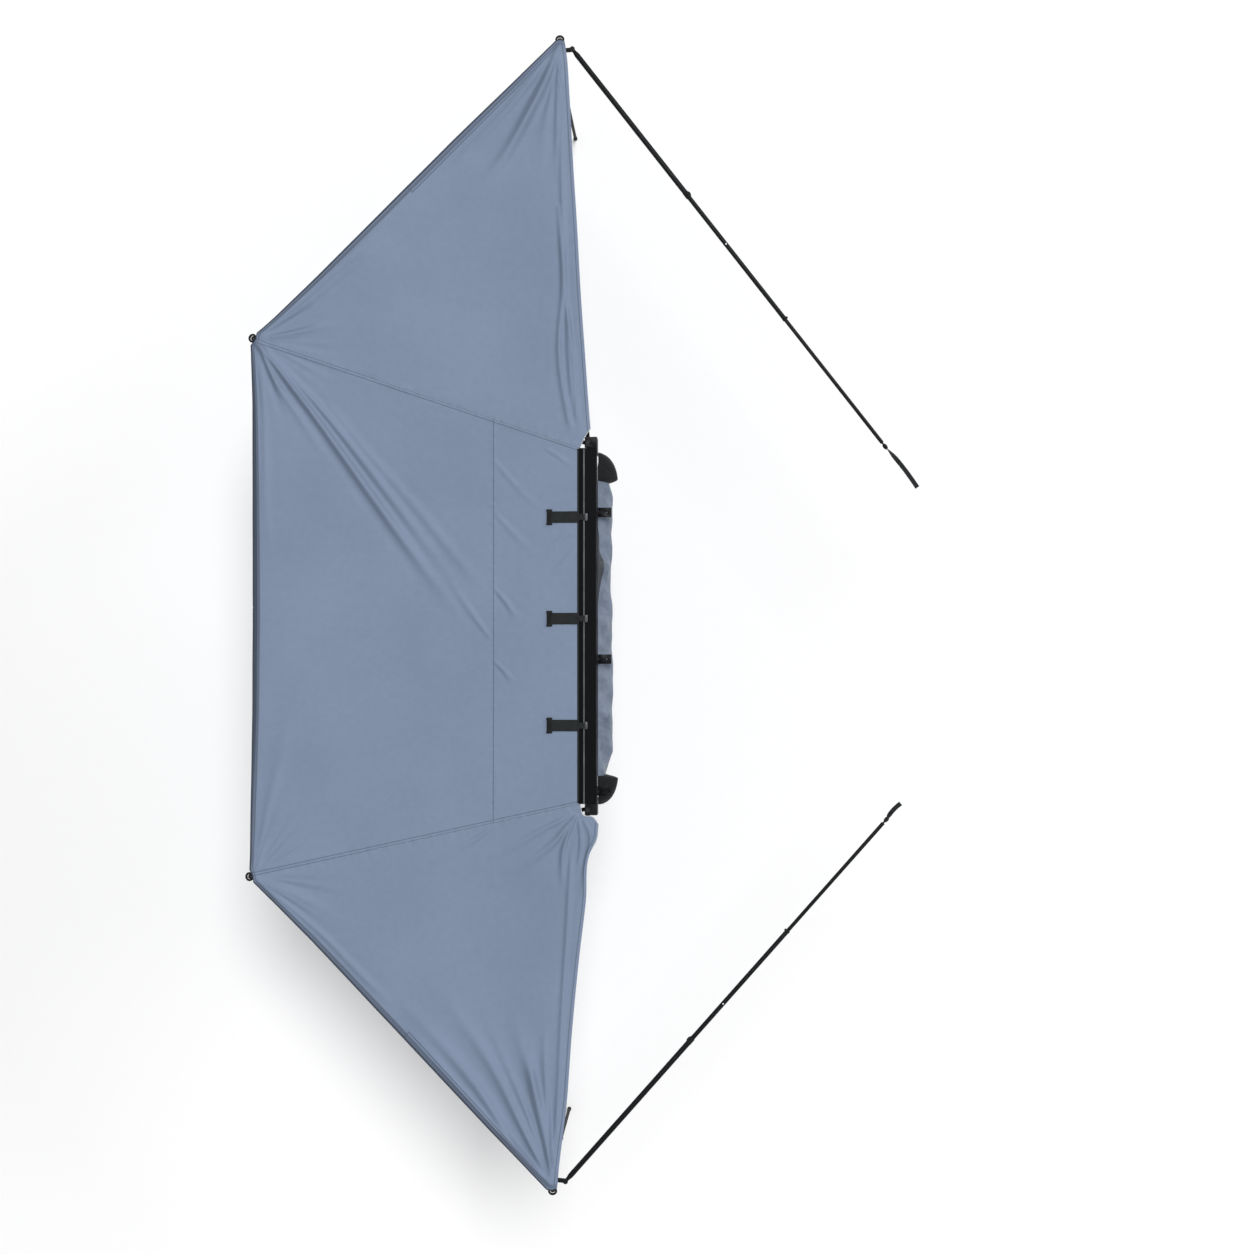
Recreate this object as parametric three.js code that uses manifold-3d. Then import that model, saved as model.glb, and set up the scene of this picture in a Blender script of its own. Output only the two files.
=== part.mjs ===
// A vehicle side awning, open: three cloth panels on four folding arms, with drop legs and two telescopic
// stays. The origin is on the seat of the middle rack bracket, where a crossbar rests on it. +X points to the
// vehicle, +Y to its front, +Z up. Inside the source, places are given from the centre of the case's back
// face. All sizes are in millimetres, and all angles in degrees.
import * as THREE from 'three';
import { mergeVertices } from 'three/addons/utils/BufferGeometryUtils.js';
import Module from 'manifold-3d';

const wasm = await Module();
wasm.setup();

// The layout
const hubBeyond = 30; // from the case's ends to the pivots
const hubInset = 43; // from the case's back face to the pivots
const levelPitch = 32; // each arm folds in a level of its own
const groundDrop = 1780; // from the case's centre down to the ground
const frontWingLength = 2140;
const rearWingLength = 2003;
const frontMainLength = 1879;
const rearMainLength = 1840;
const frontWingAngle = 94;
const frontMainAngle = 162.3;
const rearMainAngle = 191.4;
const rearWingAngle = 264.6;
const gap = 0.3; // between faces that touch
const overrun = 2; // how far a cutter passes its faces
const roundSteps = 16; // sides of a round piece

// The case
const caseLength = 1860;
const caseWall = 3;
const caseHeight = 138;
const roofReach = 84; // from the back face to the outer edge of the roof flange
const railRadius = 5;
const railBore = 3.4;
const railMouth = 1.4;

// The hub brackets and their bolts
const hubWall = 4;
const hubLap = 30; // the bracket's lap on the case
const hubReach = 28; // from the pivot to the bracket's end
const hubPlateDepth = 60; // from the back face outwards
const boltRadius = 6;
const boltHeadRadius = 10;
const boltHeadHeight = 7;

// The rack brackets and their bolts
const rackBracketInset = 62; // from the case's rear end to the rear bracket's middle
const rearRackSpacing = 694; // between the rear and middle crossbars
const frontRackSpacing = 774; // between the middle and front crossbars
const rackBracketWidth = 50;
const rackBracketWall = 5;
const rackBracketHeight = 70;
const rackBracketReach = 76;
const rackSeatX = 30; // from the case's back face to the origin on the seat
const rackBoltRadius = 4;
const rackBoltHeadRadius = 8;
const rackBoltHeadHeight = 6;
const rackBoltRise = 14;

// The arms
const armWidth = 20;
const armHeight = 24;
const armWall = 2;
const knuckleRadius = 15;
const knucklePlug = 55; // how far the knuckle reaches into its tube
const wingTubeLength = 1590;
const extensionLap = 220; // of the extension in its tube, when out
const tipLength = 104;
const tongueReach = 18; // of the tongue that the canopy's corner is tied to
const tongueHeight = 7;
const tongueHoleRadius = 5;
const runningGap = 0.6; // between tubes that slide

// The legs
const hingeInset = 62; // from the arm's end to the leg's hinge
const legOffset = 23; // beside the arm's centre line
const legRadius = 11;
const legWall = 1.2;
const legLength = 1000;
const legCollarRadius = 12;
const legCollarLength = 34;
const lowerLegRadius = 9.4;
const lowerLegLength = 960;
const footRadius = 12;
const footHeight = 34;
const footSole = 9;
const hingePinRadius = 4.5;
const pinHeadRadius = 8;
const pinHead = 2;

// The stays
const stayOffset = 62; // beside the arm, so that the folding stay passes behind the case
const stayRadius = 14;
const stayWall = 1.6;
const stayMiddleRadius = 12;
const stayInnerRadius = 10;
const stayTube = 1000;
const stayMiddleTube = 960;
const stayInnerTube = 950;
const stayCollarRadius = 15.5;
const stayCollarLength = 36;
const stayLug = 5;
const stayLugWidth = 24;
const stayPinRadius = 4;
const stayHeadHeight = 17;
const stayStub = 16; // what stays out of a tube when it is pushed in
const frontStayLength = 2666;
const rearStayLength = 2525;
const frontStayAngle = -52.15;
const rearStayAngle = 48.4;
const eyeLength = 34;
const eyeThickness = 8;
const eyeHoleRadius = 6.5;
const eyePlug = 24;
const stayStrapWidth = 25;
const stayStrapThickness = 2;
const stayStrapColumns = 10;
const frontStayStrapLength = 270;
const rearStayStrapLength = 110;

// The canopy
const clothThickness = 2;
const cornerCut = 26; // from an arm's end to the cloth's corner
const hubCut = 62; // from a pivot to the wing cloth's inner corner
const hemHollow = 12; // how far an outer hem curves in
const armLapFront = 16; // how far the cloth laps the wing arm's centre line
const armLapRear = 30;
const lapFade = 8; // how soon the lap dies away across the panel
const clothSag = 16;
const foldWidth = 74;
const foldHeight = 17;
const pleatWidth = 46;
const pleatHeight = 10;
const foldStartShare = 0.35; // of a fold's width, where it starts
const clothColumns = 20;
const clothRows = 18;

// The straps on the canopy
const tieStrapShares = { front: 0.611, middle: 0.04, rear: -0.56 }; // of half the case's length
const tieStrapLength = 140;
const tieStrapWidth = 56;
const tieStrapThickness = 2.5;
const tieStrapColumns = 6;
const keeperLength = 32;
const keeperWidth = 80;
const keeperThickness = 5;

// The storage cover
const coverShift = -10; // of the cover's middle along the case
const coverLap = 8; // on the case's back face
const coverFall = 190;
const coverBulge = 86;
const coverThickness = 2;
const coverWave = 9;
const coverWaves = 5;
const coverEndLength = 150;
const coverEndBulge = 98;
const coverTuckShare = 0.8;
const coverRoundShare = 0.8;
const coverEndShare = 0.45;
const coverCloseShare = 0.97;
const coverColumns = 26;
const coverRows = 7;

const halfCase = caseHeight / 2;
const caseEnd = caseLength / 2;
const hubX = -hubInset;
const halfHubs = caseEnd + hubBeyond;
const rackSeatZ = rackBracketWall - rackBracketHeight / 2;
const rearRackY = rackBracketInset - caseEnd;
const middleRackY = rearRackY + rearRackSpacing;
const rackBracketPlacesY = { front: middleRackY + frontRackSpacing, middle: middleRackY, rear: rearRackY };
const levelHeights = [-1.5, -0.5, 0.5, 1.5].map((share) => share * levelPitch);
const roofTop = halfCase;
const railHeight = roofTop + railRadius - caseWall; // of the rail's centre
const clothLift = clothThickness / 2 + gap; // of the cloth's middle over what it lies on
const cornerLift = 3 * gap + clothThickness / 2; // over a corner fitting, from which the cloth slopes down
const roofUnderside = halfCase - caseWall;
const hubPlateUnderside = halfCase + gap;
const radians = THREE.MathUtils.degToRad;

const blackPaint = new THREE.MeshStandardMaterial({ color: 0x1b1d20, roughness: 0.45, metalness: 0.6 });
const darkAluminium = new THREE.MeshStandardMaterial({ color: 0x33373c, roughness: 0.4, metalness: 0.8 });
const steel = new THREE.MeshStandardMaterial({ color: 0xa8abae, roughness: 0.35, metalness: 0.9 });
const blackPlastic = new THREE.MeshStandardMaterial({ color: 0x17181a, roughness: 0.6, metalness: 0 });
const rubber = new THREE.MeshStandardMaterial({ color: 0x101112, roughness: 0.9, metalness: 0 });
const canopyCloth = new THREE.MeshStandardMaterial({ color: 0x7f8fa8, roughness: 0.8, metalness: 0 });
const greyCloth = new THREE.MeshStandardMaterial({ color: 0x828a96, roughness: 0.75, metalness: 0 });
const blackCloth = new THREE.MeshStandardMaterial({ color: 0x17191b, roughness: 0.85, metalness: 0 });
const webbing = new THREE.MeshStandardMaterial({ color: 0x202426, roughness: 0.8, metalness: 0 });

// A box between two corners.
function block(low, high) {
  const size = high.map((value, axis) => value - low[axis]);
  const geometry = new THREE.BoxGeometry(...size);
  geometry.translate(...low.map((value, axis) => value + size[axis] / 2));
  return geometry;
}

// A solid or hollow round bar along Z, from one height to another.
function bar(radius, from, to, bore = 0) {
  const outer = [new THREE.Vector2(radius, from), new THREE.Vector2(radius, to)];
  const inner = [new THREE.Vector2(bore, to), new THREE.Vector2(bore, from)];
  const profile = bore > 0 ? [...outer, ...inner, outer[0]] : [inner[1], ...outer, inner[0]];
  const geometry = new THREE.LatheGeometry(profile, roundSteps);
  geometry.rotateX(Math.PI / 2);
  return geometry;
}

// A hollow rectangular tube along X.
function boxTube(width, height, wall, from, to) {
  const outline = rectangle(width, height);
  outline.holes.push(rectangle(width - 2 * wall, height - 2 * wall));
  const geometry = new THREE.ExtrudeGeometry(outline, { depth: to - from, bevelEnabled: false });
  geometry.rotateX(Math.PI / 2);
  geometry.rotateZ(Math.PI / 2);
  geometry.translate(from, 0, 0);
  return geometry;
}

function rectangle(width, height) {
  const x = width / 2;
  const y = height / 2;
  return new THREE.Shape([[-x, -y], [x, -y], [x, y], [-x, y]].map((point) => new THREE.Vector2(...point)));
}

// A closed geometry as a solid that can be joined and cut.
function solid(geometry) {
  const bare = geometry.clone();
  bare.deleteAttribute('normal');
  bare.deleteAttribute('uv');
  const merged = mergeVertices(bare);
  const mesh = new wasm.Mesh({
    numProp: 3,
    vertProperties: new Float32Array(merged.attributes.position.array),
    triVerts: new Uint32Array(merged.index.array),
  });
  mesh.merge();
  return new wasm.Manifold(mesh);
}

function geometryOf(body) {
  const mesh = body.getMesh();
  const geometry = new THREE.BufferGeometry();
  geometry.setAttribute('position', new THREE.BufferAttribute(mesh.vertProperties, mesh.numProp));
  geometry.setIndex(new THREE.BufferAttribute(mesh.triVerts, 1));
  return geometry;
}

// Some closed geometries joined, with others cut away.
function carve(joined, cut = []) {
  let body = solid(joined[0]);
  for (const geometry of joined.slice(1)) body = body.add(solid(geometry));
  for (const geometry of cut) body = body.subtract(solid(geometry));
  return geometryOf(body);
}

// A thin closed sheet on a surface(u, v), with its thickness along the given direction or its normal.
function sheet(surface, columns, rows, thickness, upright) {
  const middle = (u, v) => new THREE.Vector3(...surface(u, v));
  const positions = [];
  const step = 1 / (4 * Math.max(columns, rows));
  for (const side of [1, -1]) {
    for (let row = 0; row <= rows; row++) {
      for (let column = 0; column <= columns; column++) {
        const u = column / columns;
        const v = row / rows;
        const normal = upright ? new THREE.Vector3(0, 0, 1) : normalAt(middle, u, v, step);
        positions.push(...middle(u, v).addScaledVector(normal, (side * thickness) / 2));
      }
    }
  }
  const faces = [];
  const layer = (columns + 1) * (rows + 1);
  const at = (column, row, side) => row * (columns + 1) + column + side * layer;
  const quad = (a, b, c, d) => faces.push(a, b, c, a, c, d);
  for (let row = 0; row < rows; row++) {
    for (let column = 0; column < columns; column++) {
      quad(at(column, row, 0), at(column + 1, row, 0), at(column + 1, row + 1, 0), at(column, row + 1, 0));
      quad(at(column, row, 1), at(column, row + 1, 1), at(column + 1, row + 1, 1), at(column + 1, row, 1));
    }
  }
  for (let column = 0; column < columns; column++) {
    quad(at(column, 0, 1), at(column + 1, 0, 1), at(column + 1, 0, 0), at(column, 0, 0));
    quad(at(column, rows, 0), at(column + 1, rows, 0), at(column + 1, rows, 1), at(column, rows, 1));
  }
  for (let row = 0; row < rows; row++) {
    quad(at(0, row, 0), at(0, row + 1, 0), at(0, row + 1, 1), at(0, row, 1));
    quad(at(columns, row, 1), at(columns, row + 1, 1), at(columns, row + 1, 0), at(columns, row, 0));
  }
  const geometry = new THREE.BufferGeometry();
  geometry.setAttribute('position', new THREE.Float32BufferAttribute(positions, 3));
  geometry.setIndex(faces);
  return outwards(geometry);
}

function normalAt(middle, u, v, step) {
  const across = middle(Math.min(u + step, 1), v).sub(middle(Math.max(u - step, 0), v));
  const along = middle(u, Math.min(v + step, 1)).sub(middle(u, Math.max(v - step, 0)));
  return across.cross(along).normalize();
}

// The same closed geometry with its faces pointing out.
function outwards(geometry) {
  const place = geometry.attributes.position;
  const index = geometry.index.array;
  const corner = [0, 1, 2].map(() => new THREE.Vector3());
  let volume = 0;
  for (let face = 0; face < index.length; face += 3) {
    corner.forEach((point, number) => point.fromBufferAttribute(place, index[face + number]));
    volume += corner[0].dot(corner[1].clone().cross(corner[2]));
  }
  if (volume < 0) {
    for (let face = 0; face < index.length; face += 3) {
      [index[face], index[face + 1]] = [index[face + 1], index[face]];
    }
  }
  return geometry;
}

function named(name, geometry, material) {
  const mesh = new THREE.Mesh(geometry, material);
  mesh.name = name;
  return mesh;
}

function placed(object, x, y, z, turn = 0) {
  object.position.set(x, y, z);
  object.rotation.z = radians(turn);
  return object;
}

const awning = new THREE.Group();

// The case: a back wall, a roof flange and the rail that grips the canopy's edge, all one extrusion.
function caseProfile() {
  const railX = -roofReach;
  const railZ = railHeight;
  const wall = new THREE.Shape();
  wall.moveTo(0, -halfCase);
  wall.lineTo(0, roofTop);
  const foot = Math.sqrt(railRadius ** 2 - (roofTop - railZ) ** 2);
  wall.lineTo(railX + foot, roofTop);
  const start = Math.atan2(roofTop - railZ, foot);
  const mouth = Math.PI - Math.asin(railMouth / railRadius);
  wall.absarc(railX, railZ, railRadius, start, mouth, false);
  const innerMouth = Math.PI - Math.asin(railMouth / railBore);
  wall.absarc(railX, railZ, railBore, innerMouth, -innerMouth, true);
  const low = -Math.asin((railZ - roofUnderside) / railRadius);
  wall.absarc(railX, railZ, railRadius, -mouth, low, false);
  wall.lineTo(-caseWall, roofUnderside);
  wall.lineTo(-caseWall, -halfCase);
  wall.closePath();
  return wall;
}

// Lays a profile drawn in X and Z along Y, centred.
function alongY(shape, length, curveSteps) {
  const options = { depth: length, bevelEnabled: false, curveSegments: curveSteps };
  const geometry = new THREE.ExtrudeGeometry(shape, options);
  geometry.rotateX(Math.PI / 2);
  geometry.translate(0, length / 2, 0);
  return geometry;
}

function barAlongX(radius, from, to) {
  const geometry = bar(radius, from, to);
  geometry.rotateY(Math.PI / 2);
  return geometry;
}

function addCase() {
  const holes = Object.values(rackBracketPlacesY).map((y) => {
    const hole = barAlongX(rackBoltRadius + gap, -caseWall - overrun, overrun);
    hole.translate(0, y, rackBoltRise);
    return hole;
  });
  const shell = carve([alongY(caseProfile(), caseLength, roundSteps / 2)], holes);
  awning.add(named('case_extrusion', shell, darkAluminium));
}

// A bracket lapped on the case's back, with a plate over and a plate under the pivot.
function addHub(end, side) {
  const inner = caseEnd + gap;
  const outer = halfHubs + hubReach;
  const top = hubPlateUnderside + hubWall;
  const web = block([gap, inner - hubLap, -top], [gap + hubWall, outer, top]);
  const roof = block([-hubPlateDepth, inner, hubPlateUnderside], [gap + hubWall, outer, top]);
  const floor = block([-hubPlateDepth, inner, -top], [gap + hubWall, outer, -hubPlateUnderside]);
  const hole = bar(boltRadius + gap, -top - overrun, top + overrun);
  hole.translate(hubX, halfHubs, 0);
  const bracket = carve([web, roof, floor], [hole]);
  const bolt = carve([
    bar(boltRadius, -top - boltHeadHeight, top + boltHeadHeight),
    bar(boltHeadRadius, top + gap, top + boltHeadHeight),
    bar(boltHeadRadius, -top - boltHeadHeight, -top - gap),
  ]);
  bolt.translate(hubX, halfHubs, 0);
  if (side < 0) {
    bracket.rotateX(Math.PI);
    bolt.rotateX(Math.PI);
  }
  awning.add(named(`hub_bracket_${end}`, bracket, blackPaint));
  awning.add(named(`pivot_bolt_${end}`, bolt, steel));
}

// An angle bracket on the case's back whose top face lies under a crossbar, and its bolt.
function addRackBracket(end, y) {
  const low = rackSeatZ - rackBracketWall;
  const angle = new THREE.Shape();
  angle.moveTo(gap, low);
  angle.lineTo(rackBracketReach, low);
  angle.lineTo(rackBracketReach, rackSeatZ);
  angle.lineTo(gap + rackBracketWall, rackSeatZ);
  angle.lineTo(gap + rackBracketWall, -low);
  angle.lineTo(gap, -low);
  angle.closePath();
  const boltHole = barAlongX(rackBoltRadius + gap, 0, gap + rackBracketWall + overrun);
  boltHole.translate(0, 0, rackBoltRise);
  const shelfHole = bar(rackBoltRadius + gap, low - overrun, rackSeatZ + overrun);
  shelfHole.translate(rackBracketReach - rackBracketWidth / 2, 0, 0);
  const bracket = carve([alongY(angle, rackBracketWidth, 1)], [boltHole, shelfHole]);
  awning.add(placed(named(`rack_bracket_${end}`, bracket, blackPaint), 0, y, 0));
  const seat = rackBracketWall + 2 * gap;
  const shank = barAlongX(rackBoltRadius, -caseWall, seat + rackBoltHeadHeight);
  const head = barAlongX(rackBoltHeadRadius, seat, seat + rackBoltHeadHeight);
  const bolt = named(`rack_bolt_${end}`, carve([shank, head]), steel);
  awning.add(placed(bolt, 0, y, rackBoltRise));
}

// The eye that turns on the pivot bolt, with a plug that fills the tube's end.
function knuckle(level, low, high) {
  const tongue = armHeight - 2 * armWall - 2 * gap;
  const depth = armWidth - 2 * armWall - 2 * gap;
  const eye = bar(knuckleRadius, low, high);
  const neck = block([0, -armWidth / 2, level - armHeight / 2], [knuckleRadius + armWall, armWidth / 2,
    level + armHeight / 2]);
  const plug = block([0, -depth / 2, level - tongue / 2], [knuckleRadius + knucklePlug, depth / 2,
    level + tongue / 2]);
  return carve([eye, neck, plug], [bar(boltRadius + gap, low - overrun, high + overrun)]);
}

// The corner fitting: a body over the tube's end, a leg pin, a tongue, and on a wing a lug for the stay.
function tipFitting(arm, width, height) {
  const { side, length, telescopes } = arm;
  const start = length - tipLength;
  const halfWidth = armWidth / 2;
  const halfHeight = armHeight / 2;
  const hingeX = length - hingeInset;
  const bodyEnd = length - tongueReach;
  const body = block([start, -halfWidth, -halfHeight], [bodyEnd, halfWidth, halfHeight]);
  const tongue = block([bodyEnd - overrun, -halfWidth, -tongueHeight / 2], [length - halfWidth, halfWidth,
    tongueHeight / 2]);
  const ring = bar(halfWidth, -tongueHeight / 2, tongueHeight / 2);
  ring.translate(length - halfWidth, 0, 0);
  const pinEnd = legOffset + legRadius + 2 * gap + pinHead;
  const pin = bar(hingePinRadius, 0, pinEnd);
  const head = bar(pinHeadRadius, pinEnd - pinHead, pinEnd);
  const joined = [body, tongue, ring];
  for (const piece of [pin, head]) {
    piece.rotateX((-side * Math.PI) / 2);
    piece.translate(hingeX, 0, 0);
    joined.push(piece);
  }
  if (telescopes) joined.push(...stayLugParts(side, hingeX));
  const eyelet = bar(tongueHoleRadius, -tongueHeight, tongueHeight);
  eyelet.translate(length - halfWidth, 0, 0);
  if (!telescopes) {
    const plug = block([start - knucklePlug, -width / 2, -height / 2], [start + overrun, width / 2,
      height / 2]);
    return carve([...joined, plug], [eyelet]);
  }
  const socket = block(
    [start - overrun, -width / 2 - gap, -height / 2 - gap],
    [hingeX - hingePinRadius - armWall, width / 2 + gap, height / 2 + gap],
  );
  return carve(joined, [eyelet, socket]);
}

function stayLugParts(side, hingeX) {
  const low = -stayRadius;
  const reach = stayOffset + stayPinRadius + armWall;
  const inner = -side * (armWidth / 2 - armWall);
  const outer = -side * reach;
  const half = stayLugWidth / 2;
  const lug = block([hingeX - half, Math.min(inner, outer), low], [hingeX + half, Math.max(inner, outer),
    low + stayLug]);
  const pin = bar(stayPinRadius, low, stayHeadHeight / 2);
  pin.translate(hingeX, -side * stayOffset, 0);
  return [lug, pin];
}

// A leg hanging from its hinge: a head and upper tube, a lower tube inside it, and a rubber foot.
function legPieces(arm) {
  const total = groundDrop + arm.height;
  const head = bar(legRadius, -legRadius, legRadius);
  head.rotateX(Math.PI / 2);
  const hole = bar(hingePinRadius + gap, -legRadius - overrun, legRadius + overrun);
  hole.rotateX(Math.PI / 2);
  const tube = bar(legRadius, -legLength, 0);
  const collar = bar(legCollarRadius, -legLength, legCollarLength - legLength);
  const hollow = bar(legRadius - legWall, -legLength - overrun, -legRadius - armWall);
  const upper = carve([head, tube, collar], [hole, hollow]);
  const bottom = -total + footSole + gap;
  const lower = bar(lowerLegRadius, bottom, bottom + lowerLegLength, lowerLegRadius - legWall);
  const foot = carve(
    [bar(footRadius, -total, footHeight - total)],
    [bar(lowerLegRadius + gap, footSole - total, footHeight - total + overrun)],
  );
  return { upper, lower, foot };
}

// A stay lying along +X from its pin: three tubes one inside the other, an end plug with an eye, and a strap.
function stayPieces(length, strapLength) {
  const lap = (stayTube + stayMiddleTube + stayInnerTube + eyeLength - length) / 2;
  const alongX = (geometry) => geometry.rotateY(Math.PI / 2);
  const head = bar(stayRadius, -stayHeadHeight / 2 + gap, stayHeadHeight / 2);
  const hole = bar(stayPinRadius + gap, -stayRadius, stayRadius);
  const tube = alongX(bar(stayRadius, stayRadius + armWall, stayTube));
  const neck = block([0, -stayRadius / 2, -stayHeadHeight / 2 + gap], [2 * stayRadius, stayRadius / 2,
    stayHeadHeight / 2]);
  const collar = alongX(bar(stayCollarRadius, stayTube - stayCollarLength, stayTube));
  const hollow = alongX(bar(stayRadius - stayWall, 2 * stayRadius + armWall, stayTube + overrun));
  const outer = carve([head, neck, tube, collar], [hole, hollow]);
  const middleStart = stayTube - lap;
  const innerStart = middleStart + stayMiddleTube - lap;
  const middleEnd = middleStart + stayMiddleTube;
  const middle = carve(
    [
      alongX(bar(stayMiddleRadius, middleStart, middleEnd)),
      alongX(bar(stayMiddleRadius + stayWall, middleEnd - stayStub, middleEnd)),
    ],
    [alongX(bar(stayMiddleRadius - stayWall + gap, middleStart - overrun, middleEnd + overrun))],
  );
  const innerEnd = innerStart + stayInnerTube;
  const inner = alongX(bar(stayInnerRadius, innerStart, innerEnd, stayInnerRadius - stayWall));
  const plugRadius = stayInnerRadius - stayWall - gap;
  const eye = carve(
    [
      alongX(bar(plugRadius, innerEnd - eyePlug, innerEnd + 2 * gap)),
      alongX(bar(stayInnerRadius, innerEnd + gap, innerEnd + gap + eyeThickness)),
      block([innerEnd + gap, -eyeThickness / 2, -stayInnerRadius], [innerEnd + eyeLength, eyeThickness / 2,
        stayInnerRadius]),
    ],
    [eyeHole(innerEnd + eyeLength - eyeHoleRadius - stayWall - gap)],
  );
  const strapStart = innerEnd + eyeLength + gap;
  const sway = eyeThickness;
  const strapSurface = (u, v) => [
    strapStart + u * strapLength,
    sway * Math.sin(Math.PI * u),
    (v - 0.5) * stayStrapWidth,
  ];
  const strap = sheet(strapSurface, stayStrapColumns, 1, stayStrapThickness);
  return { outer, middle, inner, eye, strap };
}

function eyeHole(x) {
  const hole = bar(eyeHoleRadius, -eyeThickness, eyeThickness);
  hole.rotateX(Math.PI / 2);
  hole.translate(x, 0, 0);
  return hole;
}

const arms = [
  { name: 'front_wing', side: 1, level: 3, length: frontWingLength, angle: frontWingAngle, telescopes: true },
  { name: 'front_main', side: 1, level: 1, length: frontMainLength, angle: frontMainAngle },
  { name: 'rear_main', side: -1, level: 0, length: rearMainLength, angle: rearMainAngle },
  { name: 'rear_wing', side: -1, level: 2, length: rearWingLength, angle: rearWingAngle, telescopes: true },
];
const stays = {
  front_wing: { name: 'front_stay', length: frontStayLength, angle: frontStayAngle,
    strap: frontStayStrapLength },
  rear_wing: { name: 'rear_stay', length: rearStayLength, angle: rearStayAngle, strap: rearStayStrapLength },
};

// How high a knuckle's eye reaches: each fills its share of the pivot bolt.
function eyeSpan(arm) {
  const pair = arms.filter((other) => other.side === arm.side);
  const split = pair.reduce((sum, other) => sum + levelHeights[other.level] / pair.length, 0);
  const bottom = -hubPlateUnderside + gap;
  const top = hubPlateUnderside - gap;
  return arm.telescopes ? [split + gap / 2, top] : [bottom, split - gap / 2];
}

function addArm(arm) {
  arm.height = levelHeights[arm.level];
  const group = placed(new THREE.Group(), hubX, arm.side * halfHubs, arm.height, arm.angle);
  awning.add(group);
  const [low, high] = eyeSpan(arm).map((z) => z - arm.height);
  group.add(named(`${arm.name}_knuckle`, knuckle(0, low, high), blackPaint));
  const tubeStart = knuckleRadius + armWall + gap;
  const tipStart = arm.length - tipLength;
  const slide = armWall + runningGap;
  const innerWidth = armWidth - 2 * slide;
  const innerHeight = armHeight - 2 * slide;
  const innerEnd = arm.length - hingeInset - hingePinRadius - armWall - gap;
  if (arm.telescopes) {
    const tube = boxTube(armWidth, armHeight, armWall, tubeStart, wingTubeLength);
    group.add(named(`${arm.name}_tube`, tube, blackPaint));
    const innerStart = wingTubeLength - extensionLap;
    const inner = boxTube(innerWidth, innerHeight, armWall, innerStart, innerEnd);
    group.add(named(`${arm.name}_extension`, inner, darkAluminium));
    group.add(named(`${arm.name}_tip`, tipFitting(arm, innerWidth, innerHeight), blackPlastic));
  } else {
    const tube = boxTube(armWidth, armHeight, armWall, tubeStart, tipStart - gap);
    const plugWidth = armWidth - 2 * armWall - 2 * gap;
    const plugHeight = armHeight - 2 * armWall - 2 * gap;
    group.add(named(`${arm.name}_tube`, tube, blackPaint));
    group.add(named(`${arm.name}_tip`, tipFitting(arm, plugWidth, plugHeight), blackPlastic));
  }
  addLeg(group, arm);
  if (stays[arm.name]) addStay(arm, stays[arm.name]);
}

function addLeg(group, arm) {
  const { upper, lower, foot } = legPieces(arm);
  const leg = placed(new THREE.Group(), arm.length - hingeInset, arm.side * legOffset, 0);
  leg.add(named(`${arm.name}_leg_upper`, upper, blackPaint));
  leg.add(named(`${arm.name}_leg_lower`, lower, darkAluminium));
  leg.add(named(`${arm.name}_leg_foot`, foot, rubber));
  group.add(leg);
}

function addStay(arm, stay) {
  const pieces = stayPieces(stay.length, stay.strap);
  const turn = radians(arm.angle);
  const along = arm.length - hingeInset;
  const beside = -arm.side * stayOffset;
  const x = hubX + along * Math.cos(turn) - beside * Math.sin(turn);
  const y = arm.side * halfHubs + along * Math.sin(turn) + beside * Math.cos(turn);
  const group = placed(new THREE.Group(), x, y, arm.height, stay.angle);
  group.add(named(`${stay.name}_outer`, pieces.outer, blackPaint));
  group.add(named(`${stay.name}_middle`, pieces.middle, blackPaint));
  group.add(named(`${stay.name}_inner`, pieces.inner, darkAluminium));
  group.add(named(`${stay.name}_eye`, pieces.eye, blackPlastic));
  group.add(named(`${stay.name}_strap`, pieces.strap, webbing));
  awning.add(group);
}

// A point on an arm's centre line, a distance short of its end, at the cloth's height.
function clothCorner(arm, short) {
  const turn = radians(arm.angle);
  const along = arm.length - short;
  const x = hubX + along * Math.cos(turn);
  const y = arm.side * halfHubs + along * Math.sin(turn);
  return new THREE.Vector3(x, y, arm.height + armHeight / 2 + cornerLift);
}

// The wing cloth's inner corner, over its arm near the pivot.
function clothStart(arm) {
  const turn = radians(arm.angle);
  const x = hubX + hubCut * Math.cos(turn);
  const y = arm.side * halfHubs + hubCut * Math.sin(turn);
  return new THREE.Vector3(x, y, railHeight);
}

// Where a seam meets the rail's end.
function seamStart(side) {
  return new THREE.Vector3(-roofReach - gap, side * (halfHubs - hubReach), railHeight);
}

// The height of a rounded ridge that runs between two points, seen from above.
function ridge(point, from, to, width, height) {
  const line = to.clone().sub(from).setZ(0);
  const length = line.length();
  line.divideScalar(length);
  const offset = point.clone().sub(from).setZ(0);
  const along = offset.dot(line) / length;
  if (along < 0 || along > 1) return 0;
  const across = Math.abs(offset.x * line.y - offset.y * line.x);
  const spread = width * (foldStartShare + (1 - foldStartShare) * along);
  const rise = Math.sin(Math.PI * Math.sqrt(along));
  return across < spread ? height * rise * Math.cos((Math.PI * across) / (2 * spread)) ** 2 : 0;
}

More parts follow.
